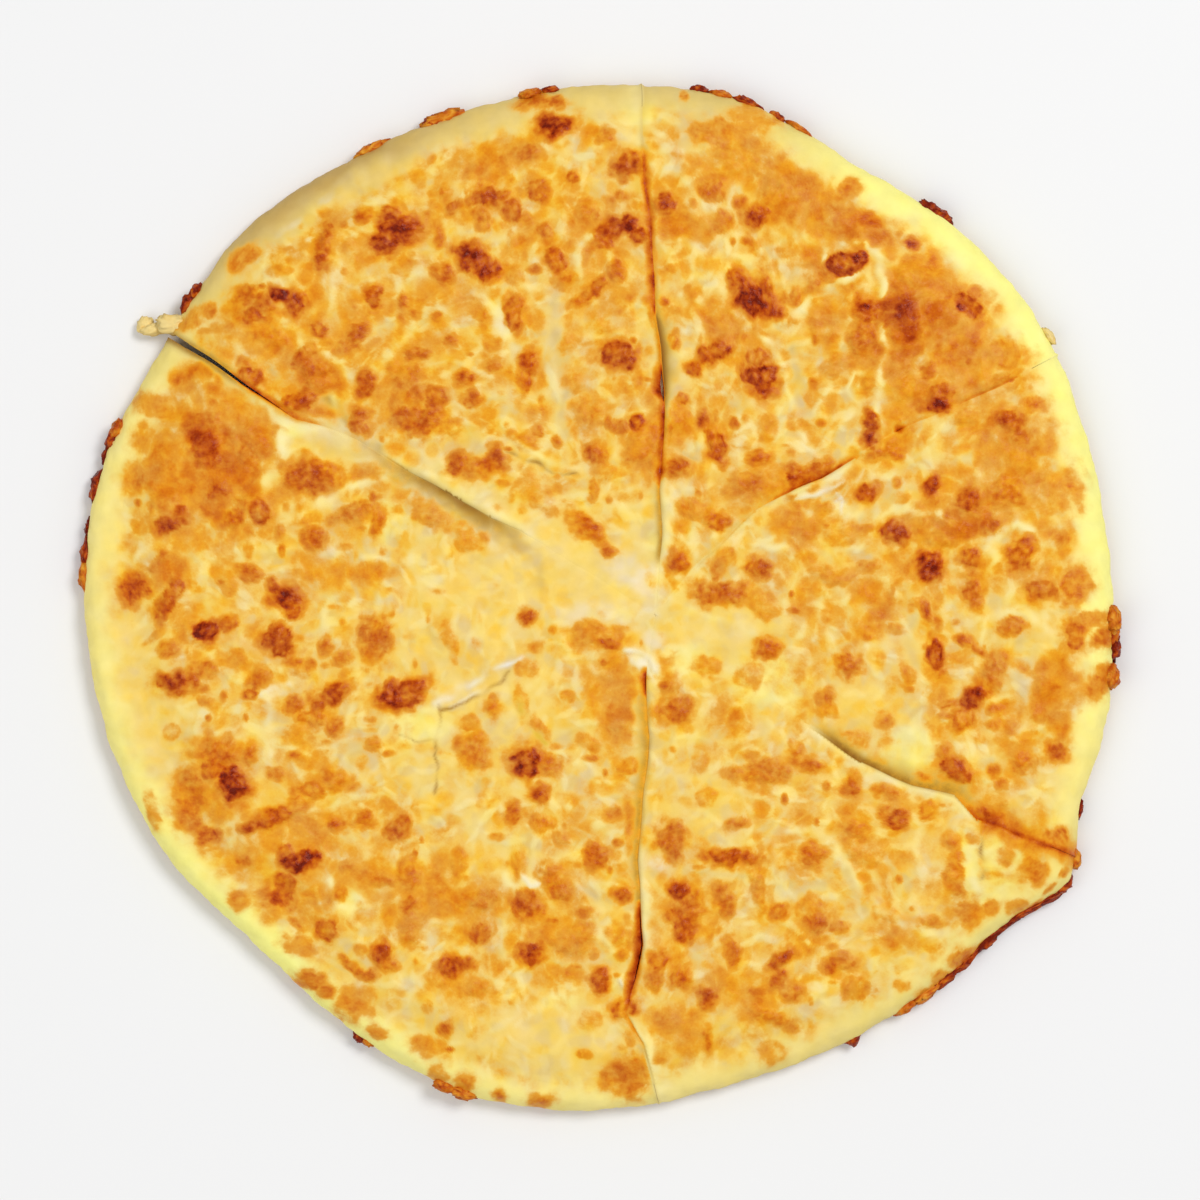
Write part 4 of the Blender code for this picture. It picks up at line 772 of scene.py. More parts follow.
# How yellow and how olive the rim's pale band is, every 15 degrees round the bread. The lemon is
# the band's own yellow with painted light: brightest where the rim is lit, and raised on the lower
# left, which turns from the key light. The olive is painted shade on the upper left, where the
# rim turns from the light.
RIM_LEMON_AND_LIGHT = (
    0.9, 0.9, 1.0, 1.0, 0.8, 0.15, 0.1, 0.0, 0.0, 0.1, 0.3, 0.3,
    0.25, 0.5, 0.8, 1.0, 0.85, 0.45, 0.2, 0.15, 0.2, 0.35, 0.3, 0.5,
)  # fmt: skip
RIM_SHADE = (
    0.0, 0.0, 0.0, 0.0, 0.1, 0.55, 0.5, 0.6, 1.0, 0.85, 0.25, 0.0,
    0.0, 0.0, 0.0, 0.0, 0.0, 0.0, 0.0, 0.15, 0.25, 0.2, 0.15, 0.0,
)  # fmt: skip

# Studio, in metres: the floor, the round lights with their width, power and place, the
# light from all round, and the camera with the height at which it sees the photo's width.
FLOOR_GREY = (0.81, 0.81, 0.81)
FLOOR_REACH = 3.0
FLOOR_DROP = 0.0002
LIGHTS = (("key", 0.9, 30.0, (1.0, 0.8, 2.1)), ("fill", 1.6, 8.5, (-0.9, -0.5, 1.5)))
SKY_STRENGTH = 0.54
FOCAL_LENGTH = 130.0
SENSOR_WIDTH = 36.0
SEEN_HEIGHT = 0.008


# Curves, angles and noise.


def periodic(values, degrees):
    """A smooth closed curve through values that lie evenly round the bread."""
    values = np.asarray(values, float)
    place = np.asarray(degrees, float) % 360 / (360 / len(values))
    low = np.floor(place).astype(int)
    part = place - low
    a, b, c, d = (values[(low + k) % len(values)] for k in (-1, 0, 1, 2))
    bend = (-a + 3 * b - 3 * c + d) * part
    curve = (2 * a - 5 * b + 4 * c - d + bend) * part
    return b + part * (c - a + curve) / 2


def signed(degrees):
    """The same turn, as -180 to 180 degrees."""
    return (degrees + 180) % 360 - 180


def bell(off, half_width, power=2):
    """1 where off is 0, and almost 0 from two half widths away."""
    return np.exp(-((off / half_width) ** power))


def fade(start, end, value):
    """0 at start, 1 at end, and smooth between."""
    share = np.clip((value - start) / (end - start), 0, 1)
    return share * share * (3 - 2 * share)


def stepped(table, distance, column=1):
    """A column of a table of cuts at this distance from the hub."""
    return np.interp(distance, [row[0] for row in table], [row[column] for row in table])


def hashed(column, row, seed):
    """A repeatable number from 0 to 1 for each whole-number place."""
    mixed = (column * 374761393 + row * 668265263 + seed * 974711) & 0xFFFFFFFF
    mixed = ((mixed ^ (mixed >> 13)) * 1274126177) & 0xFFFFFFFF
    mixed = ((mixed ^ (mixed >> 15)) * 1103515245) & 0xFFFFFFFF
    return ((mixed ^ (mixed >> 16)) & 0xFFFFFF) / 0x1000000


def noise(points, scale, seed):
    """Smooth random values of about -1 to 1 over flat points, about one wave a scale."""
    at = points[:, :2] / scale
    cell = np.floor(at).astype(np.int64)
    part = at - cell
    blend = part**3 * (part * (part * 6 - 15) + 10)
    total = np.zeros(len(points))
    for i in (0, 1):
        for j in (0, 1):
            turn = 2 * math.pi * hashed(cell[:, 0] + i, cell[:, 1] + j, seed)
            slope = (part[:, 0] - i) * np.cos(turn) + (part[:, 1] - j) * np.sin(turn)
            weight = np.abs(1 - i - blend[:, 0]) * np.abs(1 - j - blend[:, 1])
            total += weight * slope
    return NOISE_REACH * total


def layered(points, scale, seed, layers=3):
    """Noise with finer and weaker noise on it."""
    total = np.zeros(len(points))
    for k in range(layers):
        total += noise(points, scale / 2**k, seed + 17 * k) / 2**k
    return total / (2 - 0.5 ** (layers - 1))


def waves(points, table, level=0.0):
    """Noise about a level, from a table of weights, scales and seeds."""
    for weight, scale, seed in table:
        level = level + weight * noise(points, scale, seed)
    return level


def drift(points, scale, seed, apart=1, kind=noise):
    """Noise in two directions, to sway flat points by."""
    return np.stack([kind(points, scale, seed), kind(points, scale, seed + apart)], axis=1)


def weighted(patterns, weights, start=0):
    """Some of the patterns added up by their weights."""
    return sum((weight * patterns[name] for name, weight in weights.items()), start)


# The bread's outline and its cuts.


def place(bearings, distances):
    """Points in the bread's own frame, from bearings and distances at the hub."""
    turned = np.radians(bearings)
    x = HUB[0] + distances * np.cos(turned)
    y = HUB[1] + distances * np.sin(turned)
    return np.stack([x, y], axis=-1)


def hub_polar(points):
    """Bearings and distances of points from the hub."""
    off = points[:, :2] - np.array(HUB)
    return np.degrees(np.arctan2(off[:, 1], off[:, 0])), np.hypot(off[:, 0], off[:, 1])


def rim_distance(bearings):
    """Distance from the hub to the rim at these bearings, found by halving."""
    bearings = np.asarray(bearings, float)
    across, up = np.cos(np.radians(bearings)), np.sin(np.radians(bearings))
    near = np.zeros_like(bearings)
    far = np.full_like(bearings, 2 * RIM_RADIUS)
    for _ in range(HALVINGS):
        middle = (near + far) / 2
        x = HUB[0] + middle * across
        y = HUB[1] + middle * up
        inside = np.hypot(x, y) < RIM_RADIUS + periodic(RIM_STRAY, np.degrees(np.arctan2(y, x)))
        near = np.where(inside, middle, near)
        far = np.where(inside, far, middle)
    bearing, half_width, out = CORNER_BULGE
    return near + out * bell(signed(bearings - bearing), half_width)


TABLE_BEARINGS = np.arange(0, 361, 0.25)
TABLE_DISTANCES = rim_distance(TABLE_BEARINGS)


def rim_reach(bearings):
    """Distance from the hub to the rim from a table, for many points."""
    return np.interp(np.asarray(bearings, float) % 360, TABLE_BEARINGS, TABLE_DISTANCES)


def from_rim(points):
    """How far in from the rim points lie, seen from the hub."""
    bearings, distances = hub_polar(points)
    return rim_reach(bearings) - distances


def route(cut, distance):
    """Bearing of a cut, which sways a little about its way."""
    start = 7.0 * list(CUT_ROUTES).index(cut)
    sway = 0.0
    for k, (height, length) in enumerate(CUT_SWAY, 1):
        sway = sway + height * np.sin(distance / length + k * start)
    sway = sway * np.clip((distance - SWAY_FROM) / SWAY_FROM, 0, 1)
    return stepped(CUT_ROUTES[cut], distance) + np.degrees(sway / np.maximum(distance, 5))


def half_gap(gaps, cut, side, distance):
    """Half width of a cut on its anticlockwise side (1) or its clockwise side (-1)."""
    return stepped(gaps[cut], distance, side)


def edge_bearing(cut, side, distance, gaps):
    """Bearing of one lip of a cut."""
    share = np.clip(half_gap(gaps, cut, side, distance) / distance, -1, 1)
    return route(cut, distance) + side * np.degrees(np.arcsin(share))


def slice_span(cuts, distance, gaps):
    """The bearings of a slice's two cut faces at this distance, the second larger."""
    start = edge_bearing(cuts[0], 1, distance, gaps)
    end = edge_bearing(cuts[1], -1, distance, gaps)
    return start, end + 360 * np.ceil((start - end) / 360)


def topping_inset(bearings):
    """How far inside the rim the melted cheese ends, as in the frame."""
    rng = np.random.default_rng(7)
    inset = periodic(TOPPING_INSETS, bearings)
    for turns in INSET_WAVES:
        phase = rng.uniform(0, 2 * math.pi)
        inset = inset + INSET_SWAY * np.sin(np.radians(bearings) * turns + phase)
    return inset


def room_at(inset, bearings):
    """An inset from the rim at these bearings, where it may be a number or a function."""
    return inset(bearings) if callable(inset) else inset


def lip_distance(cuts, which, inset, gaps):
    """How far from the hub a cut face meets the line this far in from the rim."""
    distance = RIM_RADIUS
    for _ in range(LIP_ROUNDS):
        bearing = slice_span(cuts, distance, gaps)[which]
        distance = float(rim_distance(np.array([bearing]))[0] - room_at(inset, bearing))
    return distance


def ring(cuts, inset, shares, gaps):
    """Points of a slice along the line this far in from the rim, at these shares of it."""
    ends = [lip_distance(cuts, which, inset, gaps) for which in (0, 1)]
    start = slice_span(cuts, ends[0], gaps)[0]
    end = slice_span(cuts, ends[1], gaps)[1]
    bearings = start + (end - start) * shares
    distances = rim_distance(bearings) - room_at(inset, bearings)
    distances[[0, -1]] = ends
    return place(bearings, distances)


def face_bearings(cuts, which, distances):
    return np.array([slice_span(cuts, d, LOW_GAPS)[which] for d in distances])


def lip_points(cuts, which, inset):
    """Distances and points of a cut face from the hub to this far in from the rim."""
    last = lip_distance(cuts, which, inset, LOW_GAPS)
    count = max(2, int(round((last - TIP_RADIUS) / LIP_STEP)))
    distances = np.linspace(TIP_RADIUS, last, count + 1)
    return distances, place(face_bearings(cuts, which, distances), distances)


def hex_grid(step):
    """Points in a hexagonal pattern over the whole bread."""
    reach = RIM_RADIUS * 1.2
    rows = np.arange(-reach, reach, step * math.sqrt(3) / 2)
    columns = np.arange(-reach, reach, step)
    return np.array([(x + step / 2 * (i % 2), y) for i, y in enumerate(rows) for x in columns])


def inside_slice(cuts, gaps, inset):
    """Sparse points that lie well inside a slice."""
    points = hex_grid(COARSE)
    bearings, distances = hub_polar(points)
    start, end = slice_span(cuts, np.maximum(distances, TIP_RADIUS), gaps)
    turned = (bearings - start) % 360
    within = (turned < end - start) & (distances > TIP_RADIUS + SHEET_CLEAR)
    within &= from_rim(points) - room_at(inset, bearings) > SHEET_CLEAR
    side = np.minimum(turned, end - start - turned)
    within &= distances * np.sin(np.radians(np.clip(side, 0, 90))) > SHEET_CLEAR
    return points[within]


def within_polygon(points, polygon, clear):
    """Points inside a polygon and this far from its corners."""
    x, y = points[:, 0], points[:, 1]
    inside = np.zeros(len(points), bool)
    for a, b in zip(polygon, np.roll(polygon, -1, axis=0)):
        crosses = (a[1] > y) != (b[1] > y)
        if crosses.any():
            at = a[0] + (y - a[1]) * (b[0] - a[0]) / (b[1] - a[1] + 1e-12)
            inside ^= crosses & (x < at)
    points = points[inside]
    kept = np.ones(len(points), bool)
    for corner in polygon:
        kept &= np.hypot(*(points - corner).T) > clear
    return points[kept]


# Marks of the photo.


def from_photo(x, y):
    return (x - PHOTO_MIDDLE[0]) * PIXEL, (PHOTO_MIDDLE[1] - y) * PIXEL


def near_marks(points, marks, reach):
    """Each mark with points near it: its pixel, strength, points, place, size and turn."""
    for across, down, width, height, turn, strength in marks:
        x, y = from_photo(across, down)
        size = width * PIXEL, height * PIXEL
        room = reach * max(size)
        near = (np.abs(points[:, 0] - x) < room) & (np.abs(points[:, 1] - y) < room)
        near = np.nonzero(near)[0]
        if len(near):
            yield (across, down), strength, near, (x, y), size, math.radians(turn)


def radii(offset, size, turn):
    """Distance from the middle of a mark in its own radii."""
    along = offset[:, 0] * math.cos(turn) + offset[:, 1] * math.sin(turn)
    across = offset[:, 1] * math.cos(turn) - offset[:, 0] * math.sin(turn)
    return np.hypot(along / size[0], across / size[1])


def soft_marks(points, marks, seed):
    """The strongest of some soft areas at each point, with ragged edges."""
    amount = np.zeros(len(points))
    ragged = drift(points, 9.0, seed, 5, layered)
    for _, strength, near, centre, size, turn in near_marks(points, marks, AREA_REACH):
        offset = points[near, :2] - centre + ragged[near] * 0.7 * min(size)
        share = strength * fade(1.5, 0.45, radii(offset, size, turn))
        amount[near] = np.maximum(amount[near], share)
    return amount


def neighbours(points, cell):
    """The cell of each point and the eight round it, as columns and rows."""
    base = np.floor(points / cell).astype(np.int64)
    for i in (-1, 0, 1):
        for j in (-1, 0, 1):
            yield base[:, 0] + i, base[:, 1] + j


def speckle(points, cell, sizes, chance, seed):
    """Small scattered spots: how brown each point is for them."""
    found = np.zeros(len(points))
    for column, row in neighbours(points[:, :2], cell):
        x = (column + 0.1 + 0.8 * hashed(column, row, seed + 1)) * cell
        y = (row + 0.1 + 0.8 * hashed(column, row, seed + 2)) * cell
        radius = sizes[0] + (sizes[1] - sizes[0]) * hashed(column, row, seed + 3) ** 2
        squash = 0.6 + 0.8 * hashed(column, row, seed + 4)
        away = np.hypot((points[:, 0] - x) * squash, (points[:, 1] - y) / squash) / radius
        dark = 0.28 + 0.3 * hashed(column, row, seed + 5)
        shown = hashed(column, row, seed) < chance
        found = np.maximum(found, shown * dark * fade(1.8, 0.3, away))
    return found


def shreds(points, cell, length, width, chance, seed):
    """Melted shreds of cheese that lie every way: how much of one each point shows."""
    swept = points[:, :2] + 1.1 * drift(points, 4.5, seed + 8)
    found = np.zeros(len(points))
    for column, row in neighbours(swept, cell):
        x = swept[:, 0] - (column + hashed(column, row, seed + 1)) * cell
        y = swept[:, 1] - (row + hashed(column, row, seed + 2)) * cell
        turn = math.pi * hashed(column, row, seed + 3)
        size = 0.6 + 0.8 * hashed(column, row, seed + 4)
        along = (x * np.cos(turn) + y * np.sin(turn)) / (length * size)
        across = (y * np.cos(turn) - x * np.sin(turn)) / (width * size)
        shown = (hashed(column, row, seed) < chance) * (0.55 + 0.45 * size / 1.4)
        found = np.maximum(found, shown * fade(1.3, 0.7, np.hypot(along, across)))
    return found


def strands(points):
    """Melted strands of cheese, as winding ridges, and the golden pools between them."""
    swept = points[:, :2] + 3.0 * drift(points, 15.0, 55)
    broad = np.abs(noise(swept, 13.0, 57))
    narrow = np.abs(noise(swept, 6.5, 58))
    held = fade(-0.3, 0.3, noise(points, 18.0, 59))
    veins = np.maximum(0.9 * fade(0.22, 0.0, broad), 0.4 * fade(0.25, 0.0, narrow) * held)
    pools = fade(0.15, 0.6, broad) * fade(0.0, 0.45, narrow + 0.15)
    return veins, pools


def blisters(points):
    """How brown the blisters make each point, and how far they lift it."""
    sway = drift(points, 6.5, 31) * 0.36 + drift(points, 2.6, 33) * 0.2
    clumps = waves(points, BLISTER_CLUMPS)
    streaks = 0.75 + 0.5 * layered(points, 3.6, 39)
    wrinkle = waves(points, BLISTER_WRINKLES)
    brown = np.zeros(len(points))
    lift = np.zeros(len(points))
    for pixel, dark, near, centre, size, turn in near_marks(points, BROWNED, BLISTER_REACH):
        dark = BLISTER_DARKNESS * dark
        middle = math.sqrt(size[0] * size[1])
        away = radii(points[near, :2] - centre + sway[near] * middle, size, turn)
        if hashed(*pixel, 7) < RINGED_BLISTERS:
            depth = 0.84 + 0.16 * bell(away - 0.8, 0.34) + clumps[near]
        else:
            depth = 0.84 + 0.22 * fade(1.0, 0.2, away) + clumps[near]
        core = fade(1.3, 0.86, away) * dark * depth
        halo = fade(2.0, 1.05, away) * (0.3 + 0.36 * dark) * streaks[near]
        glow = fade(3.0, 1.1, away) * (0.18 + 0.23 * dark) * streaks[near]
        brown[near] = np.max([brown[near], core, halo, glow], axis=0)
        height = min(1.0, 0.26 * middle) * (0.45 + 0.75 * dark)
        dome = fade(1.35, 0.35, away) * (1 + 0.8 * wrinkle[near])
        lift[near] = np.maximum(lift[near], height * dome)
    return brown, lift


def beside_cuts(points):
    """What the cuts do to each point: how far it falls, and its browning, shade and lip."""
    bearings, distances = hub_polar(points)
    found = {}
    waver = 1 + 0.35 * noise(points, 7.0, 41)
    ragged = 1 + 0.4 * noise(points, 4.0, 43)
    for (cut, side), table in CUT_SIDES.items():
        turn = signed(bearings - route(cut, distances))
        away = distances * np.sin(np.radians(np.clip(turn, -89, 89))) * side
        on_side = (away > -0.3) & (np.abs(turn) < 80)
        away = np.maximum(away - half_gap(TOP_GAPS, cut, side, distances), 0) * waver
        depth, width, tint = (stepped(table, distances, column) for column in (1, 2, 3))
        common = np.maximum(depth, stepped(CUT_SIDES[(cut, -side)], distances, 1))
        shape = depth * bell(away, 1.15 * width, 1.5) + (common - depth) * bell(away, 0.6)
        stain = bell(away, 2.0 * width * ragged)
        # The dark line in the cut's crack is painted shade, turned brown where the cut is dry.
        line = fade(0.2, 0.9, depth) * bell(away, 0.65 + 0.4 * width)
        dry = np.clip(4.0 * tint - 0.6, 0, 1)
        # A painted highlight, pale cream, on the raised lip beside the cut.
        lips = LIP_HIGHLIGHTS.get((cut, side), NO_LIP)
        pale = stepped(lips, distances, 1)
        spread = bell(away, stepped(lips, distances, 2)) * ragged
        ridge = bell(away - 2.0 * width, 0.9 * width) * (away > 0)
        marks = {
            "fall": 0.8 * shape,
            "brown": np.maximum(tint * stain, dry * line * (0.64 + 0.3 * tint)),
            "shade": 0.9 * fade(0.1, 0.9, depth) * bell(away, 1.2 * width + 0.6)
            * (1 - 0.8 * tint),
            "line": 0.9 * line * (1 - dry),
            "pale": np.clip(pale * spread, 0, 1),
            "lip": 0.45 * pale * (fade(0.0, 0.5, away) * spread)
            + 0.25 * ridge * np.clip(depth, 0, 0.8),
        }
        for key, value in marks.items():
            found[key] = np.maximum(found.get(key, 0.0), value * on_side)
    return found


def beside_line(points, knots):
    """Distance of each point from a line."""
    least = np.full(len(points), 99.0)
    for a, b in zip(knots[:-1], knots[1:]):
        along = b - a
        share = np.clip(((points - a) @ along) / (along @ along), 0, 1)
        off = points - a - share[:, None] * along
        least = np.minimum(least, np.hypot(off[:, 0], off[:, 1]))
    return least


def folds(points):
    """The folds of the cheese: how far they lift the points, and each one's colour."""
    flat = points[:, :2]
    swept = flat + 0.9 * drift(points, 5.0, 45)
    broken = np.clip(0.75 + 0.75 * noise(points, 5.0, 47), 0.1, 1.2)
    lift = np.zeros(len(points))
    tints = []
    for height, half_width, colour, strength, line in FOLDS:
        knots = np.array([from_photo(*knot) for knot in line])
        width = half_width * PIXEL
        low = knots.min(axis=0) - FOLD_REACH * width
        high = knots.max(axis=0) + FOLD_REACH * width
        near = np.nonzero(((flat > low) & (flat < high)).all(axis=1))[0]
        if not len(near):
            continue
        shape = bell(beside_line(swept[near], knots), width)
        lift[near] += (0.8 if colour == "white" else 0.55) * height * shape * broken[near]
        tints.append((near, colour, np.clip(strength * shape * broken[near], 0, 1)))
    return lift, tints


# What the bread's top shows.


def linear(colour):
    """A colour of the photo as the shaders take it."""
    share = np.asarray(colour, float) / 255
    return DIMMED * np.where(share <= 0.04045, share / 12.92, ((share + 0.055) / 1.055) ** 2.4)


def mixed(colours, other, share):
    share = np.asarray(share)[:, None]
    return colours * (1 - share) + linear(other) * share


def plain_rows(colour, count):
    return np.tile(linear(colour), (count, 1))


def patterns_of(points):
    """All patterns of the melted cheese at these points, by name."""
    found = {name: soft_marks(points, marks, seed) for name, (marks, seed) in AREAS.items()}
    found.update({name: shreds(points, *sizes) for name, sizes in SHREDS.items()})
    found["veins"], found["pools"] = strands(points)
    found["fine"] = layered(points, 3.4, 73)
    found["clouds"] = layered(points, 16.0, 71)
    found["spots"] = np.max([speckle(points, *sizes) for sizes in SPECKS], axis=0)
    found["band"] = 1 - fade(3.0, 13.0, from_rim(points) + 4.0 * layered(points, 11.0, 51))
    pale = np.max([found["pale"], found["lemon"], found["white"]], axis=0)
    found["busy"] = np.clip(1 - pale, 0, 1) * (1 - found["band"])
    found["golden"] = 0.95 * found["golden"] * (1 - 0.6 * found["band"])
    return found


def toast_of(points, seen):
    """How brown the cheese is apart from its blisters, folds and cuts."""
    outward = np.hypot(*(points[:, :2] - from_photo(*PALE_MIDDLE)).T)
    toast = 0.12 + 0.1 * fade(*PALE_REACH, outward + 8 * seen["clouds"])
    toast += weighted(seen, BROWNING)
    toast += weighted(seen, SHRED_BROWNING)
    toast = np.maximum(toast, seen["golden"] * weighted(seen, GOLD_BROWNING, 1.0))
    toast *= 0.1 + 0.9 * seen["busy"]
    return np.maximum(toast, seen["spots"] * seen["busy"] * (0.9 + 0.6 * seen["fine"]))


def plain_of(points, seen):
    """Colour of the cheese and the rim where they aren't browned."""
    busy, band = seen["busy"], seen["band"]
    yellow = fade(0.0, 0.45, layered(points, 8.0, 77)) * busy
    greyed = 0.5 * fade(0.1, 0.45, layered(points, 7.5, 79)) * busy
    textured = 0.35 + 0.65 * busy
    middle_bearing = np.degrees(np.arctan2(points[:, 1], points[:, 0]))
    # The rim band's lemon is partly painted light, and its olive is painted shade.
    lemon, olive = (
        np.clip(periodic(values, middle_bearing), 0, 1) for values in (RIM_LEMON_AND_LIGHT, RIM_SHADE)
    )
    washes = (
        (YELLOW_CHEESE, np.clip(0.8 * yellow + 0.9 * seen["golden"], 0, 0.9)),
        (GREY_CHEESE_AND_SHADE, np.clip(np.maximum(seen["grey"], greyed), 0, 0.9)),
        (GREY_CHEESE_AND_SHADE, 0.7 * seen["waxy"] * textured),
        (YELLOW_CHEESE, 0.75 * seen["buttery"] * textured),
        (CREAM_VEIN, np.clip(0.5 * seen["veins"] * busy, 0, 1)),
        (CREAM_AND_HIGHLIGHT, 0.5 * seen["cream"] * textured),
        (LEMON_WITH_LIGHT, 0.8 * seen["lemon"]),
        (WHITE_CURD_AND_GLINT, seen["white"]),
        (CREAM_RIM_WITH_LIGHT, band * 0.8),
        (LEMON_WITH_LIGHT, band * lemon),
        (SHADED_RIM_OLIVE, band * olive),
    )
    colour = plain_rows(PALE_CHEESE, len(points))
    for other, share in washes:
        colour = mixed(colour, other, share)
    return colour


def look(points):
    """What a point of the bread's top shows: its browning, plain colour and relief."""
    seen = patterns_of(points)
    brown, lift = blisters(points)
    toast = np.maximum(toast_of(points, seen), brown)
    colour = plain_of(points, seen)
    rich = 1.5 * layered(points, 9.0, 83, 2) + 0.45 * noise(points, 3.0, 85)
    rich += weighted(seen, RICHNESS) + 0.2

    fold_lift, tints = folds(points)
    for near, name, share in tints:
        colour[near] = mixed(colour[near], FOLD_COLOURS[name], share)
        kept = 0.9 if name in ("cream", "grey", "white") else 0.6
        toast[near] *= 1 - kept * share * fade(0.75, 0.3, toast[near])
        if name == "orange":
            toast[near] = np.maximum(toast[near], 0.42 * share)

    cuts = beside_cuts(points)
    # Painted highlight on the cut lips, painted shade beside the cuts and in their cracks.
    for name, kept_off in (("pale", 0.85), ("shade", 0.7), ("line", 0.85)):
        colour = mixed(colour, CUT_COLOURS[name], cuts[name])
        toast *= 1 - kept_off * cuts[name]
    toast = np.maximum(toast, cuts["brown"] * (0.9 + 0.35 * seen["fine"]))
    # The painted shade at the cuts is made warmer.
    under = np.clip(cuts["shade"] + cuts["line"], 0, 1)
    rich = rich * (1 - under) + 1.4 * under
    rich *= 0.45 + 0.55 * fade(0.1, 0.4, toast)
    rich = np.clip(rich * (1 - 0.7 * seen["band"]), -1, 1)

    raised = weighted(seen, RAISED) * seen["busy"] + lift + fold_lift
    relief = waves(points, SWELL) + waves(points, UNEVEN) + raised + cuts["lip"] - cuts["fall"]
    rim = waves(points, RIM_UNEVEN)
    return {"toast": toast, "plain": colour, "rich": rich, "relief": relief, "rim": rim}


# Meshes.


def fill(outline, inner):
    """Triangles over the outline and the points inside it, as indices into both."""
    points = np.concatenate([outline, inner]) if len(inner) else np.asarray(outline)
    flat = [Vector((float(x), float(y))) for x, y in points]
    edge = list(range(len(outline)))
    done = delaunay_2d_cdt(flat, [], [edge], 1, 1e-6)
    source = [own[0] for own in done[3]]
    return points, np.array([[source[i] for i in face] for face in done[2]])


def at_height(points, height):
    return np.column_stack([points, np.broadcast_to(height, len(points))])


def strip(first, second):
    """Triangles of the wall between two rows of as many points."""
    count = len(first)
    i = np.arange(count - 1)
    lower = np.stack([i, i + 1, count + i + 1], axis=1)
    upper = np.stack([i, count + i + 1, count + i], axis=1)
    return np.concatenate([first, second]), np.concatenate([lower, upper])


def zipped(shares):
    """Triangles between rows whose points lie at these shares from one side to the other."""
    faces = []
    base = 0
    for low, high in zip(shares[:-1], shares[1:]):
        keys = np.concatenate([(low[1:] + low[:-1]) / 2, (high[1:] + high[:-1]) / 2])
        which = np.concatenate([np.zeros(len(low) - 1, int), np.ones(len(high) - 1, int)])
        which = which[np.argsort(keys, kind="stable")]
        done = np.cumsum(which)
        j = done - which
        i = np.arange(len(which)) - j
        top = base + len(low)
        third = np.where(which == 0, base + i + 1, top + j + 1)
        faces.append(np.stack([base + i, third, top + j], axis=1))
        base = top
    return np.concatenate(faces)


def patch(shape, group, **facts):
    """A part of a mesh, from its points and faces, with what its points show."""
    points, faces = shape
    points, faces = np.asarray(points, float), np.asarray(faces)
    return {"points": points, "faces": faces, "group": group, **facts}


def walls(rows, group, **facts):
    """Patches between each row of points and the next."""
    return [patch(strip(a, b), group, **facts) for a, b in zip(rows[:-1], rows[1:])]


def gathered(patches, key, default=0.0, width=()):
    """What the patches show, as one row for each of their points."""
    shapes = [(len(p["points"]), *width) for p in patches]
    values = [np.broadcast_to(p.get(key, default), s) for p, s in zip(patches, shapes)]
    return np.concatenate(values)


def build(name, patches, materials):
    """Weld the patches into one closed mesh that faces outwards, sharp between groups."""
    points = np.concatenate([p["points"] for p in patches])
    starts = np.cumsum([0] + [len(p["points"]) for p in patches])
    faces = np.concatenate([p["faces"] + s for p, s in zip(patches, starts)])
    counts = [len(p["faces"]) for p in patches]
    groups = np.repeat([p["group"] for p in patches], counts)
    slots = np.repeat([p.get("material", 0) for p in patches], counts)
    _, first, weld = np.unique(
        np.round(points / WELD).astype(np.int64), axis=0, return_index=True, return_inverse=True
    )
    corners = weld.reshape(-1)[faces]
    whole = (corners != np.roll(corners, -1, axis=1)).all(axis=1)
    faces, corners, groups, slots = faces[whole], corners[whole], groups[whole], slots[whole]
    mesh = bpy.data.meshes.new(name)
    placed = points[first] + np.array([*OFF_CENTRE, 0.0])
    mesh.from_pydata((placed * MM).tolist(), [], corners.tolist())
    for key in ("toast", "rich"):
        values = gathered(patches, key)[faces].ravel()
        store(mesh, key, "FLOAT", "CORNER", "value", values.astype(np.float32))
    plain = gathered(patches, "plain", width=(3,))[faces].reshape(-1, 3)
    shades = np.concatenate([plain, np.ones((faces.size, 1))], axis=1)
    store(mesh, "plain", "FLOAT_COLOR", "CORNER", "color", shades.ravel().astype(np.float32))
    store(mesh, "group", "INT", "FACE", "value", groups.astype(np.int32))
    for material in materials:
        mesh.materials.append(material)
    mesh.polygons.foreach_set("material_index", slots.astype(np.int32))
    bm = bmesh.new()
    bm.from_mesh(mesh)
    bmesh.ops.recalc_face_normals(bm, faces=bm.faces[:])
    bm.to_mesh(mesh)
    bm.free()
    mark_sharp(mesh)
    return linked(name, mesh)


def store(mesh, name, kind, domain, field, values):
    mesh.attributes.new(name, kind, domain).data.foreach_set(field, values)


def fetched(source, field, count):
    values = np.zeros(count, np.int32)
    source.foreach_get(field, values)
    return values


def mark_sharp(mesh):
    """Smooth faces, with sharp edges where two groups meet."""
    mesh.shade_smooth()
    groups = fetched(mesh.attributes["group"].data, "value", len(mesh.polygons))
    sizes = fetched(mesh.polygons, "loop_total", len(mesh.polygons))
    edges = fetched(mesh.loops, "edge_index", len(mesh.loops))
    of_loop = np.repeat(groups, sizes)
    low = np.full(len(mesh.edges), 99)
    high = np.full(len(mesh.edges), -1)
    np.minimum.at(low, edges, of_loop)
    np.maximum.at(high, edges, of_loop)
    store(mesh, "sharp_edge", "BOOLEAN", "EDGE", "value", low != high)
    mesh.attributes.remove(mesh.attributes["group"])


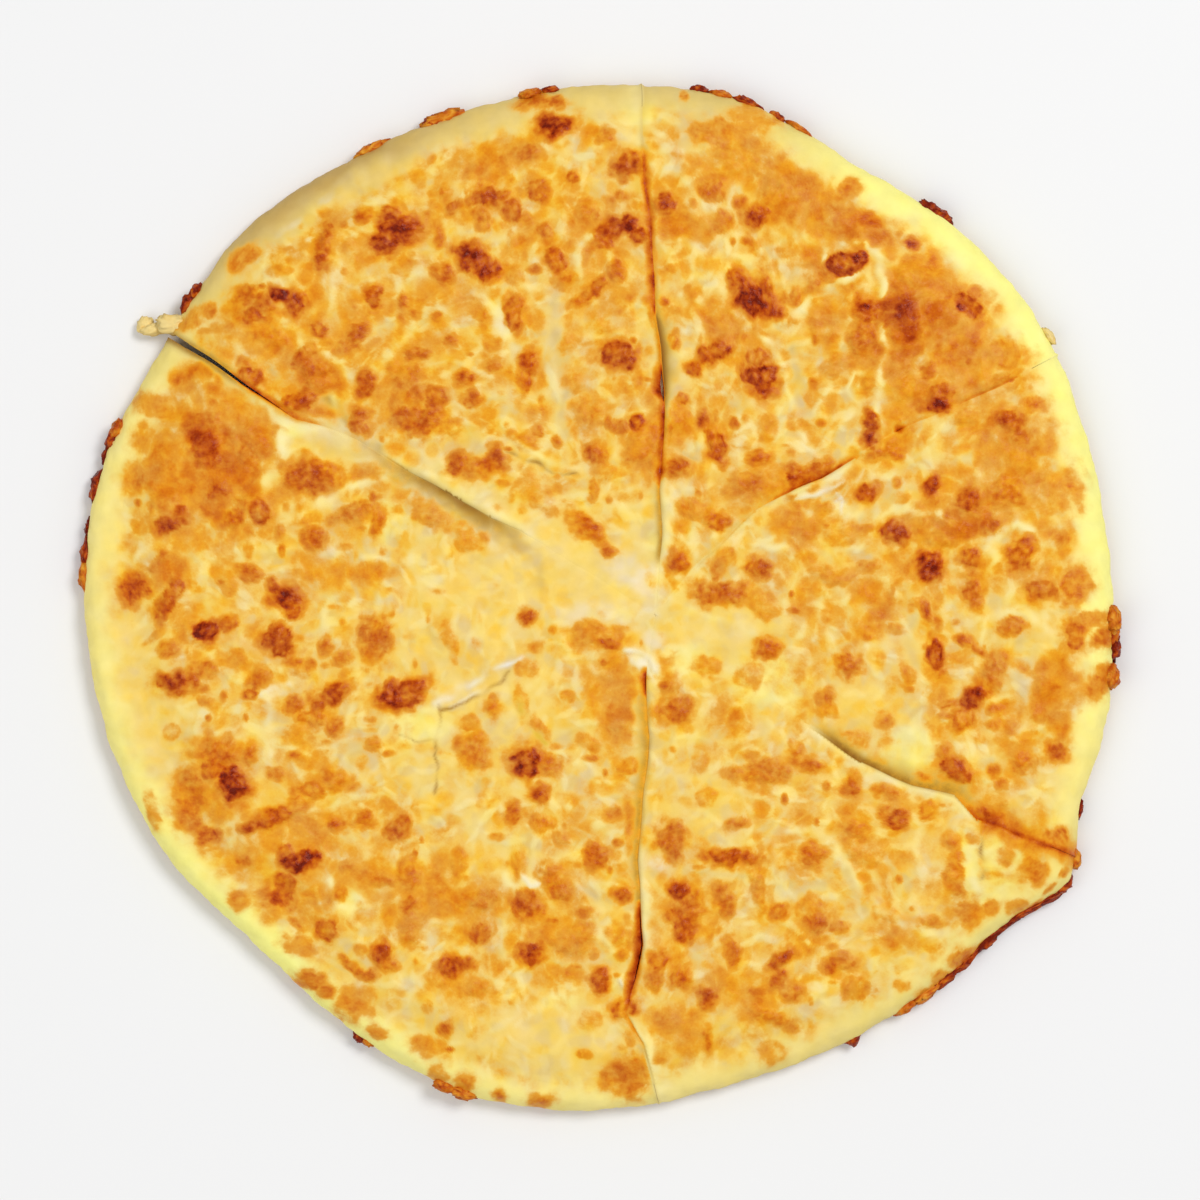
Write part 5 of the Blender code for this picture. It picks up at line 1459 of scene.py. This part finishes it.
def smooth_section(section, step):
    """A rim section with rounded corners, in steps of about this length."""
    knots = np.array(section, float)
    before = 2 * knots[0] - knots[1]
    after = 2 * knots[-1] - knots[-2]
    knots = np.concatenate([[before], knots, [after]])
    found = []
    for a, b, c, d in zip(knots, knots[1:], knots[2:], knots[3:]):
        gaps = [np.hypot(*(end - start)) for start, end in ((a, b), (b, c), (c, d))]
        count = max(1, int(round(gaps[1] / step)))
        slope_b = (c - a) * gaps[1] / (gaps[1] + gaps[0])
        slope_c = (d - b) * gaps[1] / (gaps[1] + gaps[2])
        for i in range(count):
            t = i / count
            found.append(
                (2 * t**3 - 3 * t**2 + 1) * b
                + (t**3 - 2 * t**2 + t) * slope_b
                + (3 * t**2 - 2 * t**3) * c
                + (t**3 - t**2) * slope_c
            )
    found = np.array([*found, knots[-2]])
    found[:, 1] = np.clip(found[:, 1], 0, None)
    found[:, 0] = np.clip(found[:, 0], 0, FLAT_FROM)
    return found


OUTER_FINE = smooth_section(OUTER_SECTION[1:], RIM_FINE)
POCKET_FINE = smooth_section(POCKET_SECTION, POCKET_CURVE_STEP)
TOP_PROFILE = OUTER_FINE[np.argmin(OUTER_FINE[:, 0]) :]


def dough_height(points):
    """Height of the dough's top without its relief."""
    return np.interp(from_rim(points), TOP_PROFILE[:, 0], TOP_PROFILE[:, 1])


def held_inside(points):
    """Points kept inside the box of the frame's solids."""
    low, high = (np.array(corner) / MM - [*OFF_CENTRE, 0.0] for corner in cad_box)
    return np.clip(points, low + BOX_CLEAR, high - BOX_CLEAR)


# The melted cheese.


def cheese_rows(cuts):
    """Rows of points over a slice of the melted cheese, and their shares across it."""
    grid = np.linspace(0, 1, EDGE_SAMPLES)
    reach = hub_polar(ring(cuts, topping_inset, grid, TOP_GAPS))[1]
    count = int(round(reach.mean() / FINE_ROWS))
    rows, shares = [], []
    for k in range(count + 1):
        part = k / count
        near = CHEESE_TIP + part * (reach[0] - CHEESE_TIP)
        far = CHEESE_TIP + part * (reach[-1] - CHEESE_TIP)
        start = slice_span(cuts, near, TOP_GAPS)[0]
        end = slice_span(cuts, far, TOP_GAPS)[1]
        end += 360 * math.ceil((start - end) / 360)
        across = math.radians(end - start) * (near + far) / 2
        steps = max(2, int(round(across / FINE)))
        own = np.linspace(0, 1, steps + 1)
        if steps > 4 and k % 2:
            own = np.concatenate([[0], (np.arange(steps) + 0.5) / steps, [1]])
        elif steps > 4:
            own = np.sort(np.append(own, [0.5 / steps, 1 - 0.5 / steps]))
        distances = CHEESE_TIP + part * (np.interp(own, grid, reach) - CHEESE_TIP)
        rows.append(place(start + (end - start) * own, distances))
        shares.append(own)
    return rows, shares


def cheese_top(points):
    """Height of the melted cheese's top and of the dough under it, with what it shows."""
    seen = look(points)
    inside = np.maximum(from_rim(points) - topping_inset(hub_polar(points)[0]), 0)
    share = fade(0, CHEESE_SHOULDER, inside)
    floor = dough_height(points)
    height = floor + CHEESE_THICKNESS * share
    height += seen["relief"] * share + seen["rim"] * (1 - share)
    least = floor - EDGE_SUNK + EDGE_RISE * fade(0, 1, inside)
    return np.maximum(height, least), floor, seen


def make_topping(name, cuts, materials):
    """A slice of the melted cheese."""
    rows, shares = cheese_rows(cuts)
    points = np.concatenate(rows)
    height, floor, seen = cheese_top(points)
    starts = np.cumsum([0] + [len(row) for row in rows])
    first = starts[:-1]
    last = starts[1:] - 1
    outer = np.arange(starts[-2], starts[-1])
    tip = np.arange(starts[0], starts[1])
    loop = np.concatenate([first[:-1], outer, last[-2::-1], tip[-2:0:-1]])
    under = np.minimum(floor[loop], height[loop] - LAYER_GAP)
    sparse = inside_slice(cuts, TOP_GAPS, topping_inset)
    low_points, low_faces = fill(points[loop], sparse)
    low = np.concatenate([under, dough_height(sparse)])
    closed = np.append(loop, loop[0])
    high_row, low_row = height[closed], np.append(under, under[0])
    wall_rows = [
        at_height(points[closed], high_row + (low_row - high_row) * part) for part in CHEESE_WALL
    ]
    shown = {key: seen[key] for key in ("toast", "plain", "rich")}
    wall = {"toast": 0.7 * np.tile(seen["toast"][closed], 2),
            "plain": np.tile(seen["plain"][closed], (2, 1))}
    patches = [
        patch((at_height(points, height), zipped(shares)), 0, **shown),
        *walls(wall_rows, 1, **wall),
        patch((at_height(low_points, low), low_faces), 2, toast=0.0, plain=linear(CRUMB)),
    ]
    return build(name, patches, materials)


# The dough and the cheese inside.


def rim_shares(cuts, step):
    """Even shares of a slice's rim, about this far apart."""
    start, end = slice_span(cuts, RIM_RADIUS, LOW_GAPS)
    count = int(round(math.radians(end - start) * RIM_RADIUS / step))
    return np.linspace(0, 1, count + 1)


def rim_rows(cuts, section, shares):
    """Rows of points along a slice's rim, one for each place of its section."""
    return [at_height(ring(cuts, inset, shares, LOW_GAPS), z) for inset, z in section]


def face_section(cuts, which, section):
    """The rim's section at a cut face, as distances and heights."""
    return np.array([(lip_distance(cuts, which, inset, LOW_GAPS), z) for inset, z in section])


def sheet(lips, rim_row, sparse, height):
    """A flat sheet of a slice at one height, out to a row along its rim."""
    outline = np.concatenate([lips[0][:-1], rim_row[:, :2], lips[1][-2::-1]])
    flat, faces = fill(outline, sparse)
    return at_height(flat, height), faces


def tip_wall(lips, low, high):
    """The blunt point of a slice between two heights."""
    tip = np.stack([lips[0][0], lips[1][0]])
    return strip(at_height(tip, low), at_height(tip, high))


def cut_face(cuts, which, boundary, shade):
    """A cut face over its outline of distances and heights, rough like torn crumb."""
    low, high = boundary.min(axis=0), boundary.max(axis=0)
    columns = np.arange(low[0], high[0], CUT_FACE_STEP)
    rows = np.arange(low[1], high[1], CUT_FACE_STEP * 0.87)
    inner = [(x + CUT_FACE_STEP / 2 * (i % 2), z) for i, z in enumerate(rows) for x in columns]
    flat, faces = fill(boundary, within_polygon(np.array(inner), boundary, 0.45))
    rough = waves(flat, ((0.3, 1.6, 121 + which), (0.18, 4.0, 123)), 0.22)
    rough = np.clip(rough, 0, 0.6) * (np.arange(len(flat)) >= len(boundary))
    inward = 1 if which == 0 else -1
    bearings = face_bearings(cuts, which, flat[:, 0])
    bearings += inward * np.degrees(rough / np.maximum(flat[:, 0], 2.0))
    points = at_height(place(bearings, flat[:, 0]), flat[:, 1])
    toast, plain = shade(flat, cuts, which)
    return patch((points, faces), 1, toast=toast, plain=plain, material=1)


def crumb_shade(flat, cuts, which):
    """Colour of the dough at a cut: pale crumb, baked at the underside and the rim."""
    out = lip_distance(cuts, which, 0.0, LOW_GAPS) - flat[:, 0]
    skin = np.minimum(flat[:, 1], out * 0.8)
    toast = 0.34 * np.exp(-np.maximum(skin, 0) / 0.5) + 0.06 * noise(flat, 2.2, 131)
    plain = mixed(plain_rows(CRUMB, len(flat)), PALE_CHEESE, np.full(len(flat), 0.3))
    return np.clip(toast, 0, 1), plain


def curd_shade(flat, cuts, which):
    """Colour of the cheese inside at a cut: white curd with yellower parts."""
    share = np.clip(0.3 + 0.5 * noise(flat, 2.4, 133), 0, 1)
    return np.zeros(len(flat)), mixed(plain_rows(WHITE_CURD_AND_GLINT, len(flat)), PALE_CHEESE, share)


def make_dough(name, cuts, materials):
    """A slice of the dough shell."""
    under = [(inset, 0.0) for inset in np.linspace(FLAT_FROM, OUTER_FINE[0][0], 8)[:-1]]
    section = np.concatenate([np.array(under), OUTER_FINE])
    outer = rim_rows(cuts, section, rim_shares(cuts, RIM_FINE))
    pocket = rim_rows(cuts, POCKET_FINE, rim_shares(cuts, POCKET_STEP))
    crumb = {"toast": 0.0, "plain": linear(CRUMB), "material": 1}
    baked = {"toast": 0.0, "plain": linear(BAKED_BASE), "material": 2}
    patches = dress_rim(section, outer) + walls(pocket, 2, **crumb)
    alongs, lips = zip(*(lip_points(cuts, which, FLAT_FROM) for which in (0, 1)))
    sparse = inside_slice(cuts, LOW_GAPS, FLAT_FROM)
    for height, own, group, facts in (
        (0.0, outer[0], 0, baked), (POCKET_FLOOR, pocket[0], 2, crumb),
        (POCKET_ROOF, pocket[-1], 2, crumb), (DOUGH_TOP, outer[-1], 0, crumb),
    ):
        patches.append(patch(sheet(lips, own, sparse, height), group, **facts))
    for which, along in enumerate(alongs):
        boundary = np.concatenate([
            at_height(along[:-1], 0.0),
            face_section(cuts, which, section),
            at_height(along[-2::-1], DOUGH_TOP),
            at_height(along[:-1], POCKET_ROOF),
            face_section(cuts, which, POCKET_FINE)[::-1],
            at_height(along[-2::-1], POCKET_FLOOR),
        ])
        patches.append(cut_face(cuts, which, boundary, crumb_shade))
    for low, high in ((0.0, POCKET_FLOOR), (POCKET_ROOF, DOUGH_TOP)):
        patches.append(patch(tip_wall(lips, low, high), 1, **crumb))
    return build(name, patches, materials)


def dress_rim(section, rows):
    """The rim's outside with its colour and relief, which leaves its ends in place."""
    points = np.concatenate(rows)
    seen = look(points)
    inset = from_rim(points)
    count = len(rows[0])
    inner = np.tile(np.minimum(np.arange(count), np.arange(count)[::-1]) > 0, len(rows))
    arc = at_height(np.radians(hub_polar(points)[0] % 360) * RIM_RADIUS, points[:, 2])
    upper = fade(1.0, 4.0, inset) * (points[:, 2] > 6)
    lift = seen["rim"] * upper * fade(FLAT_FROM, FLAT_FROM - 2, inset) * inner
    side = fade(0.0, 2.0, points[:, 2]) * (1 - fade(1.0, 5.0, inset))
    inward = np.clip(waves(arc, RIM_ROUGHNESS, 0.4), 0, 1.1) * side * inner
    off = points[:, :2] - np.array(HUB)
    away = off / np.hypot(off[:, 0], off[:, 1])[:, None]
    points[:, :2] -= away * inward[:, None]
    points[:, 2] += lift
    low = fade(5.0, 0.5, points[:, 2])
    shown = {
        "toast": np.maximum(seen["toast"], 0.3 * low),
        "plain": mixed(seen["plain"], BAKED_BASE, 0.5 * low),
        "rich": seen["rich"],
    }
    patches = []
    for k, (first, second) in enumerate(zip(section[:-1], section[1:])):
        both = slice(k * count, (k + 2) * count)
        faces = strip(rows[k], rows[k + 1])[1]
        under = first[1] <= 0.01 and second[1] <= 0.01
        facts = {key: values[both] for key, values in shown.items()}
        patches.append(patch((points[both], faces), 0, material=2 if under else 0, **facts))
    return patches


def make_filling(name, cuts, materials):
    """A slice of the cheese inside."""
    middle = (POCKET_FLOOR + POCKET_ROOF) / 2
    half = (POCKET_ROOF - POCKET_FLOOR) / 2
    squeeze = (half - LAYER_GAP) / half
    section = [(d + LAYER_GAP, middle + (z - middle) * squeeze) for d, z in POCKET_FINE]
    low, high = section[0][1], section[-1][1]
    rows = rim_rows(cuts, section, rim_shares(cuts, POCKET_STEP))
    curd = {"toast": 0.0, "plain": linear(WHITE_CURD_AND_GLINT), "material": 1}
    alongs, lips = zip(*(lip_points(cuts, which, section[0][0]) for which in (0, 1)))
    sparse = inside_slice(cuts, LOW_GAPS, FLAT_FROM)
    patches = walls(rows, 0, **curd)
    for height, own in ((low, rows[0]), (high, rows[-1])):
        patches.append(patch(sheet(lips, own, sparse, height), 0, **curd))
    for which, along in enumerate(alongs):
        boundary = np.concatenate([
            at_height(along[:-1], low),
            face_section(cuts, which, section),
            at_height(along[-2::-1], high),
        ])
        patches.append(cut_face(cuts, which, boundary, curd_shade))
    patches.append(patch(tip_wall(lips, low, high), 1, **curd))
    return build(name, patches, materials)


def make_lumps(name, marks, materials):
    """Drips, curds and shreds that stand out of a slice's cheese and rim."""
    turns = np.linspace(0, 2 * math.pi, LUMP_TURNS)
    patches = []
    for k, (kind, x, y, wide, high, turn, middle, thick) in enumerate(marks):
        centre = np.array([from_photo(x, y)])
        wide, high = wide * PIXEL, high * PIXEL
        spin = math.radians(turn)
        rows = []
        for rise in np.linspace(-math.pi / 2, math.pi / 2, LUMP_ROWS):
            shrink = math.cos(rise) ** 0.8
            along, across = np.cos(turns) * shrink, np.sin(turns) * shrink
            key = np.stack([along * wide, across * high + 9 * rise], axis=1) + 3 * centre
            ragged = waves(key, LUMP_RAGGEDNESS, 1.0)
            along, across = along * wide * ragged, across * high * ragged
            if kind == "nub":
                around = centre + np.stack([
                    along * math.cos(spin) - across * math.sin(spin),
                    along * math.sin(spin) + across * math.cos(spin),
                ], axis=1)
            else:
                bearing, distance = hub_polar(centre)
                bearing = bearing + np.degrees(along / distance)
                around = place(bearing, rim_reach(bearing) - 0.35 * high + across)
            height = middle + thick * math.sin(rise) * (1 + 0.35 * noise(key, 1.3, 155))
            rows.append(held_inside(np.column_stack([around, height])))
        brown, colour = LUMP_LOOKS[kind]
        for wall in walls(rows, k, plain=linear(colour)):
            stray = noise(wall["points"][:, :2] + wall["points"][:, 2:], 1.8, 157)
            wall["toast"] = np.clip(brown + (0.12 + 0.3 * brown) * stray, 0, 1)
            patches.append(wall)
    return build(name, patches, materials)


# Materials.


def node(tree, kind, inputs, **settings):
    """A new node with its settings, and with values or other nodes' sockets as inputs."""
    made = tree.nodes.new(kind)
    for key, value in settings.items():
        setattr(made, key, value)
    for key, value in inputs.items():
        if isinstance(value, bpy.types.NodeSocket):
            tree.links.new(value, made.inputs[key])
        else:
            made.inputs[key].default_value = value
    return made


def sums(tree, operation, first, second, clamp=False):
    inputs = {0: first, 1: second}
    made = node(tree, "ShaderNodeMath", inputs, operation=operation, use_clamp=clamp)
    return made.outputs[0]


def plus(tree, first, second, clamp=False):
    return sums(tree, "ADD", first, second, clamp)


def times(tree, first, second, clamp=False):
    return sums(tree, "MULTIPLY", first, second, clamp)


def centred(tree, value, factor):
    """How far a grain is from its middle of 0.5, times a factor."""
    return times(tree, sums(tree, "SUBTRACT", value, 0.5), factor)


def attribute(tree, name, output="Fac"):
    return node(tree, "ShaderNodeAttribute", {}, attribute_name=name).outputs[output]


def grain(tree, scale, detail=3.0, roughness=0.55):
    where = node(tree, "ShaderNodeTexCoord", {}).outputs["Object"]
    inputs = {"Vector": where, "Scale": scale, "Detail": detail, "Roughness": roughness}
    return node(tree, "ShaderNodeTexNoise", inputs).outputs["Fac"]


def mapped(tree, value, start, end, low, high, **settings):
    """The value turned from the range of start to end into the range of low to high."""
    inputs = {"Value": value, "From Min": start, "From Max": end, "To Min": low, "To Max": high}
    return node(tree, "ShaderNodeMapRange", inputs, **settings).outputs["Result"]


def ramp(tree, value, stops):
    made = node(tree, "ShaderNodeValToRGB", {"Fac": value})
    elements = made.color_ramp.elements
    while len(elements) < len(stops):
        elements.new(0.5)
    for element, (at, colour) in zip(elements, stops):
        element.position = at
        element.color = (*linear(colour), 1.0)
    return made.outputs["Color"]


def blend_colours(tree, share, first, second, mode="MIX"):
    inputs = {0: share, 6: first, 7: second}
    made = node(tree, "ShaderNodeMix", inputs, data_type="RGBA", blend_type=mode)
    return made.outputs[2]


def toasted(tree, plain, amount, start, end):
    """The plain colour, turning into the toasted one as the amount goes from start to end."""
    share = mapped(tree, amount, start, end, 0.0, 1.0, interpolation_type="SMOOTHSTEP")
    return blend_colours(tree, share, plain, ramp(tree, amount, TOASTING))


def new_material(name):
    material = bpy.data.materials.new(name)
    material.use_nodes = True
    return material, material.node_tree, material.node_tree.nodes["Principled BSDF"]


def finish_surface(tree, shader, colour, rough, height, strength, depth):
    """Link the surface's colour, roughness and bumps this many metres deep."""
    bumps = {"Height": height, "Strength": strength, "Distance": depth}
    normal = node(tree, "ShaderNodeBump", bumps).outputs["Normal"]
    for key, value in (("Base Color", colour), ("Roughness", rough), ("Normal", normal)):
        tree.links.new(value, shader.inputs[key])


def browned_material(name):
    """Melted cheese and crust: each point's plain colour, browned where it is toasted."""
    material, tree, shader = new_material(name)
    toast = attribute(tree, "toast")
    coarse, fine = grain(tree, 420.0), grain(tree, 1300.0)
    stray = plus(tree, centred(tree, coarse, 0.5), centred(tree, fine, 0.45))
    held = plus(tree, times(tree, toast, 0.62), 0.1)
    mottled = plus(tree, toast, times(tree, stray, held), clamp=True)
    soft = mapped(tree, grain(tree, 150.0, 4.0), 0.3, 0.7, 0.93, 1.04)
    plain = blend_colours(tree, 1.0, attribute(tree, "plain", "Color"), soft, "MULTIPLY")
    colour = toasted(tree, plain, mottled, 0.08, 0.34)
    rich = attribute(tree, "rich")
    for way, tint in ((1.0, RICHER), (-1.0, PALER)):
        share = times(tree, rich, way, clamp=True)
        colour = blend_colours(tree, share, colour, (*tint, 1.0), "MULTIPLY")
    rough = mapped(tree, plus(tree, mottled, times(tree, fine, 0.3)), 0.1, 1.1, 0.5, 0.22)
    height = plus(tree, times(tree, coarse, 0.7), times(tree, fine, 0.5))
    strength = plus(tree, times(tree, mottled, 0.55), 0.12)
    finish_surface(tree, shader, colour, rough, height, strength, 0.0006)
    shader.inputs["Specular IOR Level"].default_value = 0.08
    return material


def crumb_material(name, roughness, scale):
    """Cut dough or cheese, with pores."""
    material, tree, shader = new_material(name)
    pores = grain(tree, scale, 5.0, 0.6)
    mottled = plus(tree, attribute(tree, "toast"), centred(tree, pores, 0.16), clamp=True)
    colour = toasted(tree, attribute(tree, "plain", "Color"), mottled, 0.06, 0.3)
    rough = mapped(tree, pores, 0.3, 0.7, roughness, roughness + 0.2)
    finish_surface(tree, shader, colour, rough, pores, 0.5, 0.0007)
    return material


def base_material(name):
    """The baked underside: tan, with browner patches."""
    material, tree, shader = new_material(name)
    fine = grain(tree, 700.0, 4.0)
    broad = grain(tree, 60.0, 5.0, 0.6)
    value = plus(tree, times(tree, broad, 0.8), times(tree, fine, 0.25))
    rough = plus(tree, times(tree, fine, 0.3), 0.5)
    finish_surface(tree, shader, ramp(tree, value, UNDERSIDE), rough, value, 0.4, 0.0006)
    return material


# Studio.


def linked(name, data, location=(0, 0, 0)):
    """A new object of the scene."""
    made = bpy.data.objects.new(name, data)
    made.location = location
    bpy.context.scene.collection.objects.link(made)
    return made


def add_floor():
    material, _, shader = new_material("pale_floor")
    shader.inputs["Base Color"].default_value = (*FLOOR_GREY, 1.0)
    shader.inputs["Roughness"].default_value = 0.9
    shader.inputs["Specular IOR Level"].default_value = 0.1
    mesh = bpy.data.meshes.new("studio_floor")
    reach = FLOOR_REACH
    corners = [(-reach, -reach, 0), (reach, -reach, 0), (reach, reach, 0), (-reach, reach, 0)]
    mesh.from_pydata(corners, [], [(0, 1, 2, 3)])
    mesh.materials.append(material)
    floor = linked("studio_floor", mesh, (0, 0, -FLOOR_DROP))


def add_light(name, size, energy, location):
    """A round area light that shines at the bread's middle."""
    lamp = bpy.data.lights.new(name, "AREA")
    lamp.shape = "DISK"
    lamp.size = size
    lamp.energy = energy
    light = linked(name, lamp, location)
    light.rotation_euler = (-Vector(location)).to_track_quat("-Z", "Y").to_euler()


def add_studio():
    """The floor, the lights, and a camera that sees what the photo shows."""
    add_floor()
    for light in LIGHTS:
        add_light(*light)
    scene = bpy.context.scene
    scene.world = bpy.data.worlds.new("studio")
    scene.world.use_nodes = True
    back = scene.world.node_tree.nodes["Background"]
    back.inputs["Color"].default_value = (1.0, 1.0, 1.0, 1.0)
    back.inputs["Strength"].default_value = SKY_STRENGTH
    scene.view_settings.view_transform = "Standard"
    lens = bpy.data.cameras.new("camera")
    lens.lens = FOCAL_LENGTH
    lens.sensor_width = SENSOR_WIDTH
    height = PHOTO_WIDTH * PIXEL * MM * lens.lens / lens.sensor_width
    down = (PHOTO_MIDDLE[1] - PHOTO_WIDTH / 2) * PIXEL
    at = (OFF_CENTRE[0] * MM, (OFF_CENTRE[1] + down) * MM, height + SEEN_HEIGHT)
    scene.camera = linked("camera", lens, at)


def main():
    browned = browned_material("browned_cheese")
    crust = browned_material("pale_crust")
    crumb = crumb_material("dough_crumb", 0.6, 900.0)
    curd = crumb_material("white_curd", 0.4, 600.0)
    base = base_material("baked_underside")
    for where, cuts in SLICES.items():
        pieces = (
            (make_dough, "dough", (crust, crumb, base)),
            (make_filling, "filling", (curd, curd)),
            (make_topping, "topping", (browned, crumb)),
        )
        for make, slot, materials in pieces:
            piece = make(f"{slot}_{where}_look", cuts, materials)
            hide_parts(f"{slot}_{where}")
            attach(piece, "root")
        lumps = make_lumps(f"lumps_{where}_look", LUMPS[where], (browned,))
        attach(lumps, "root")
    add_studio()


main()
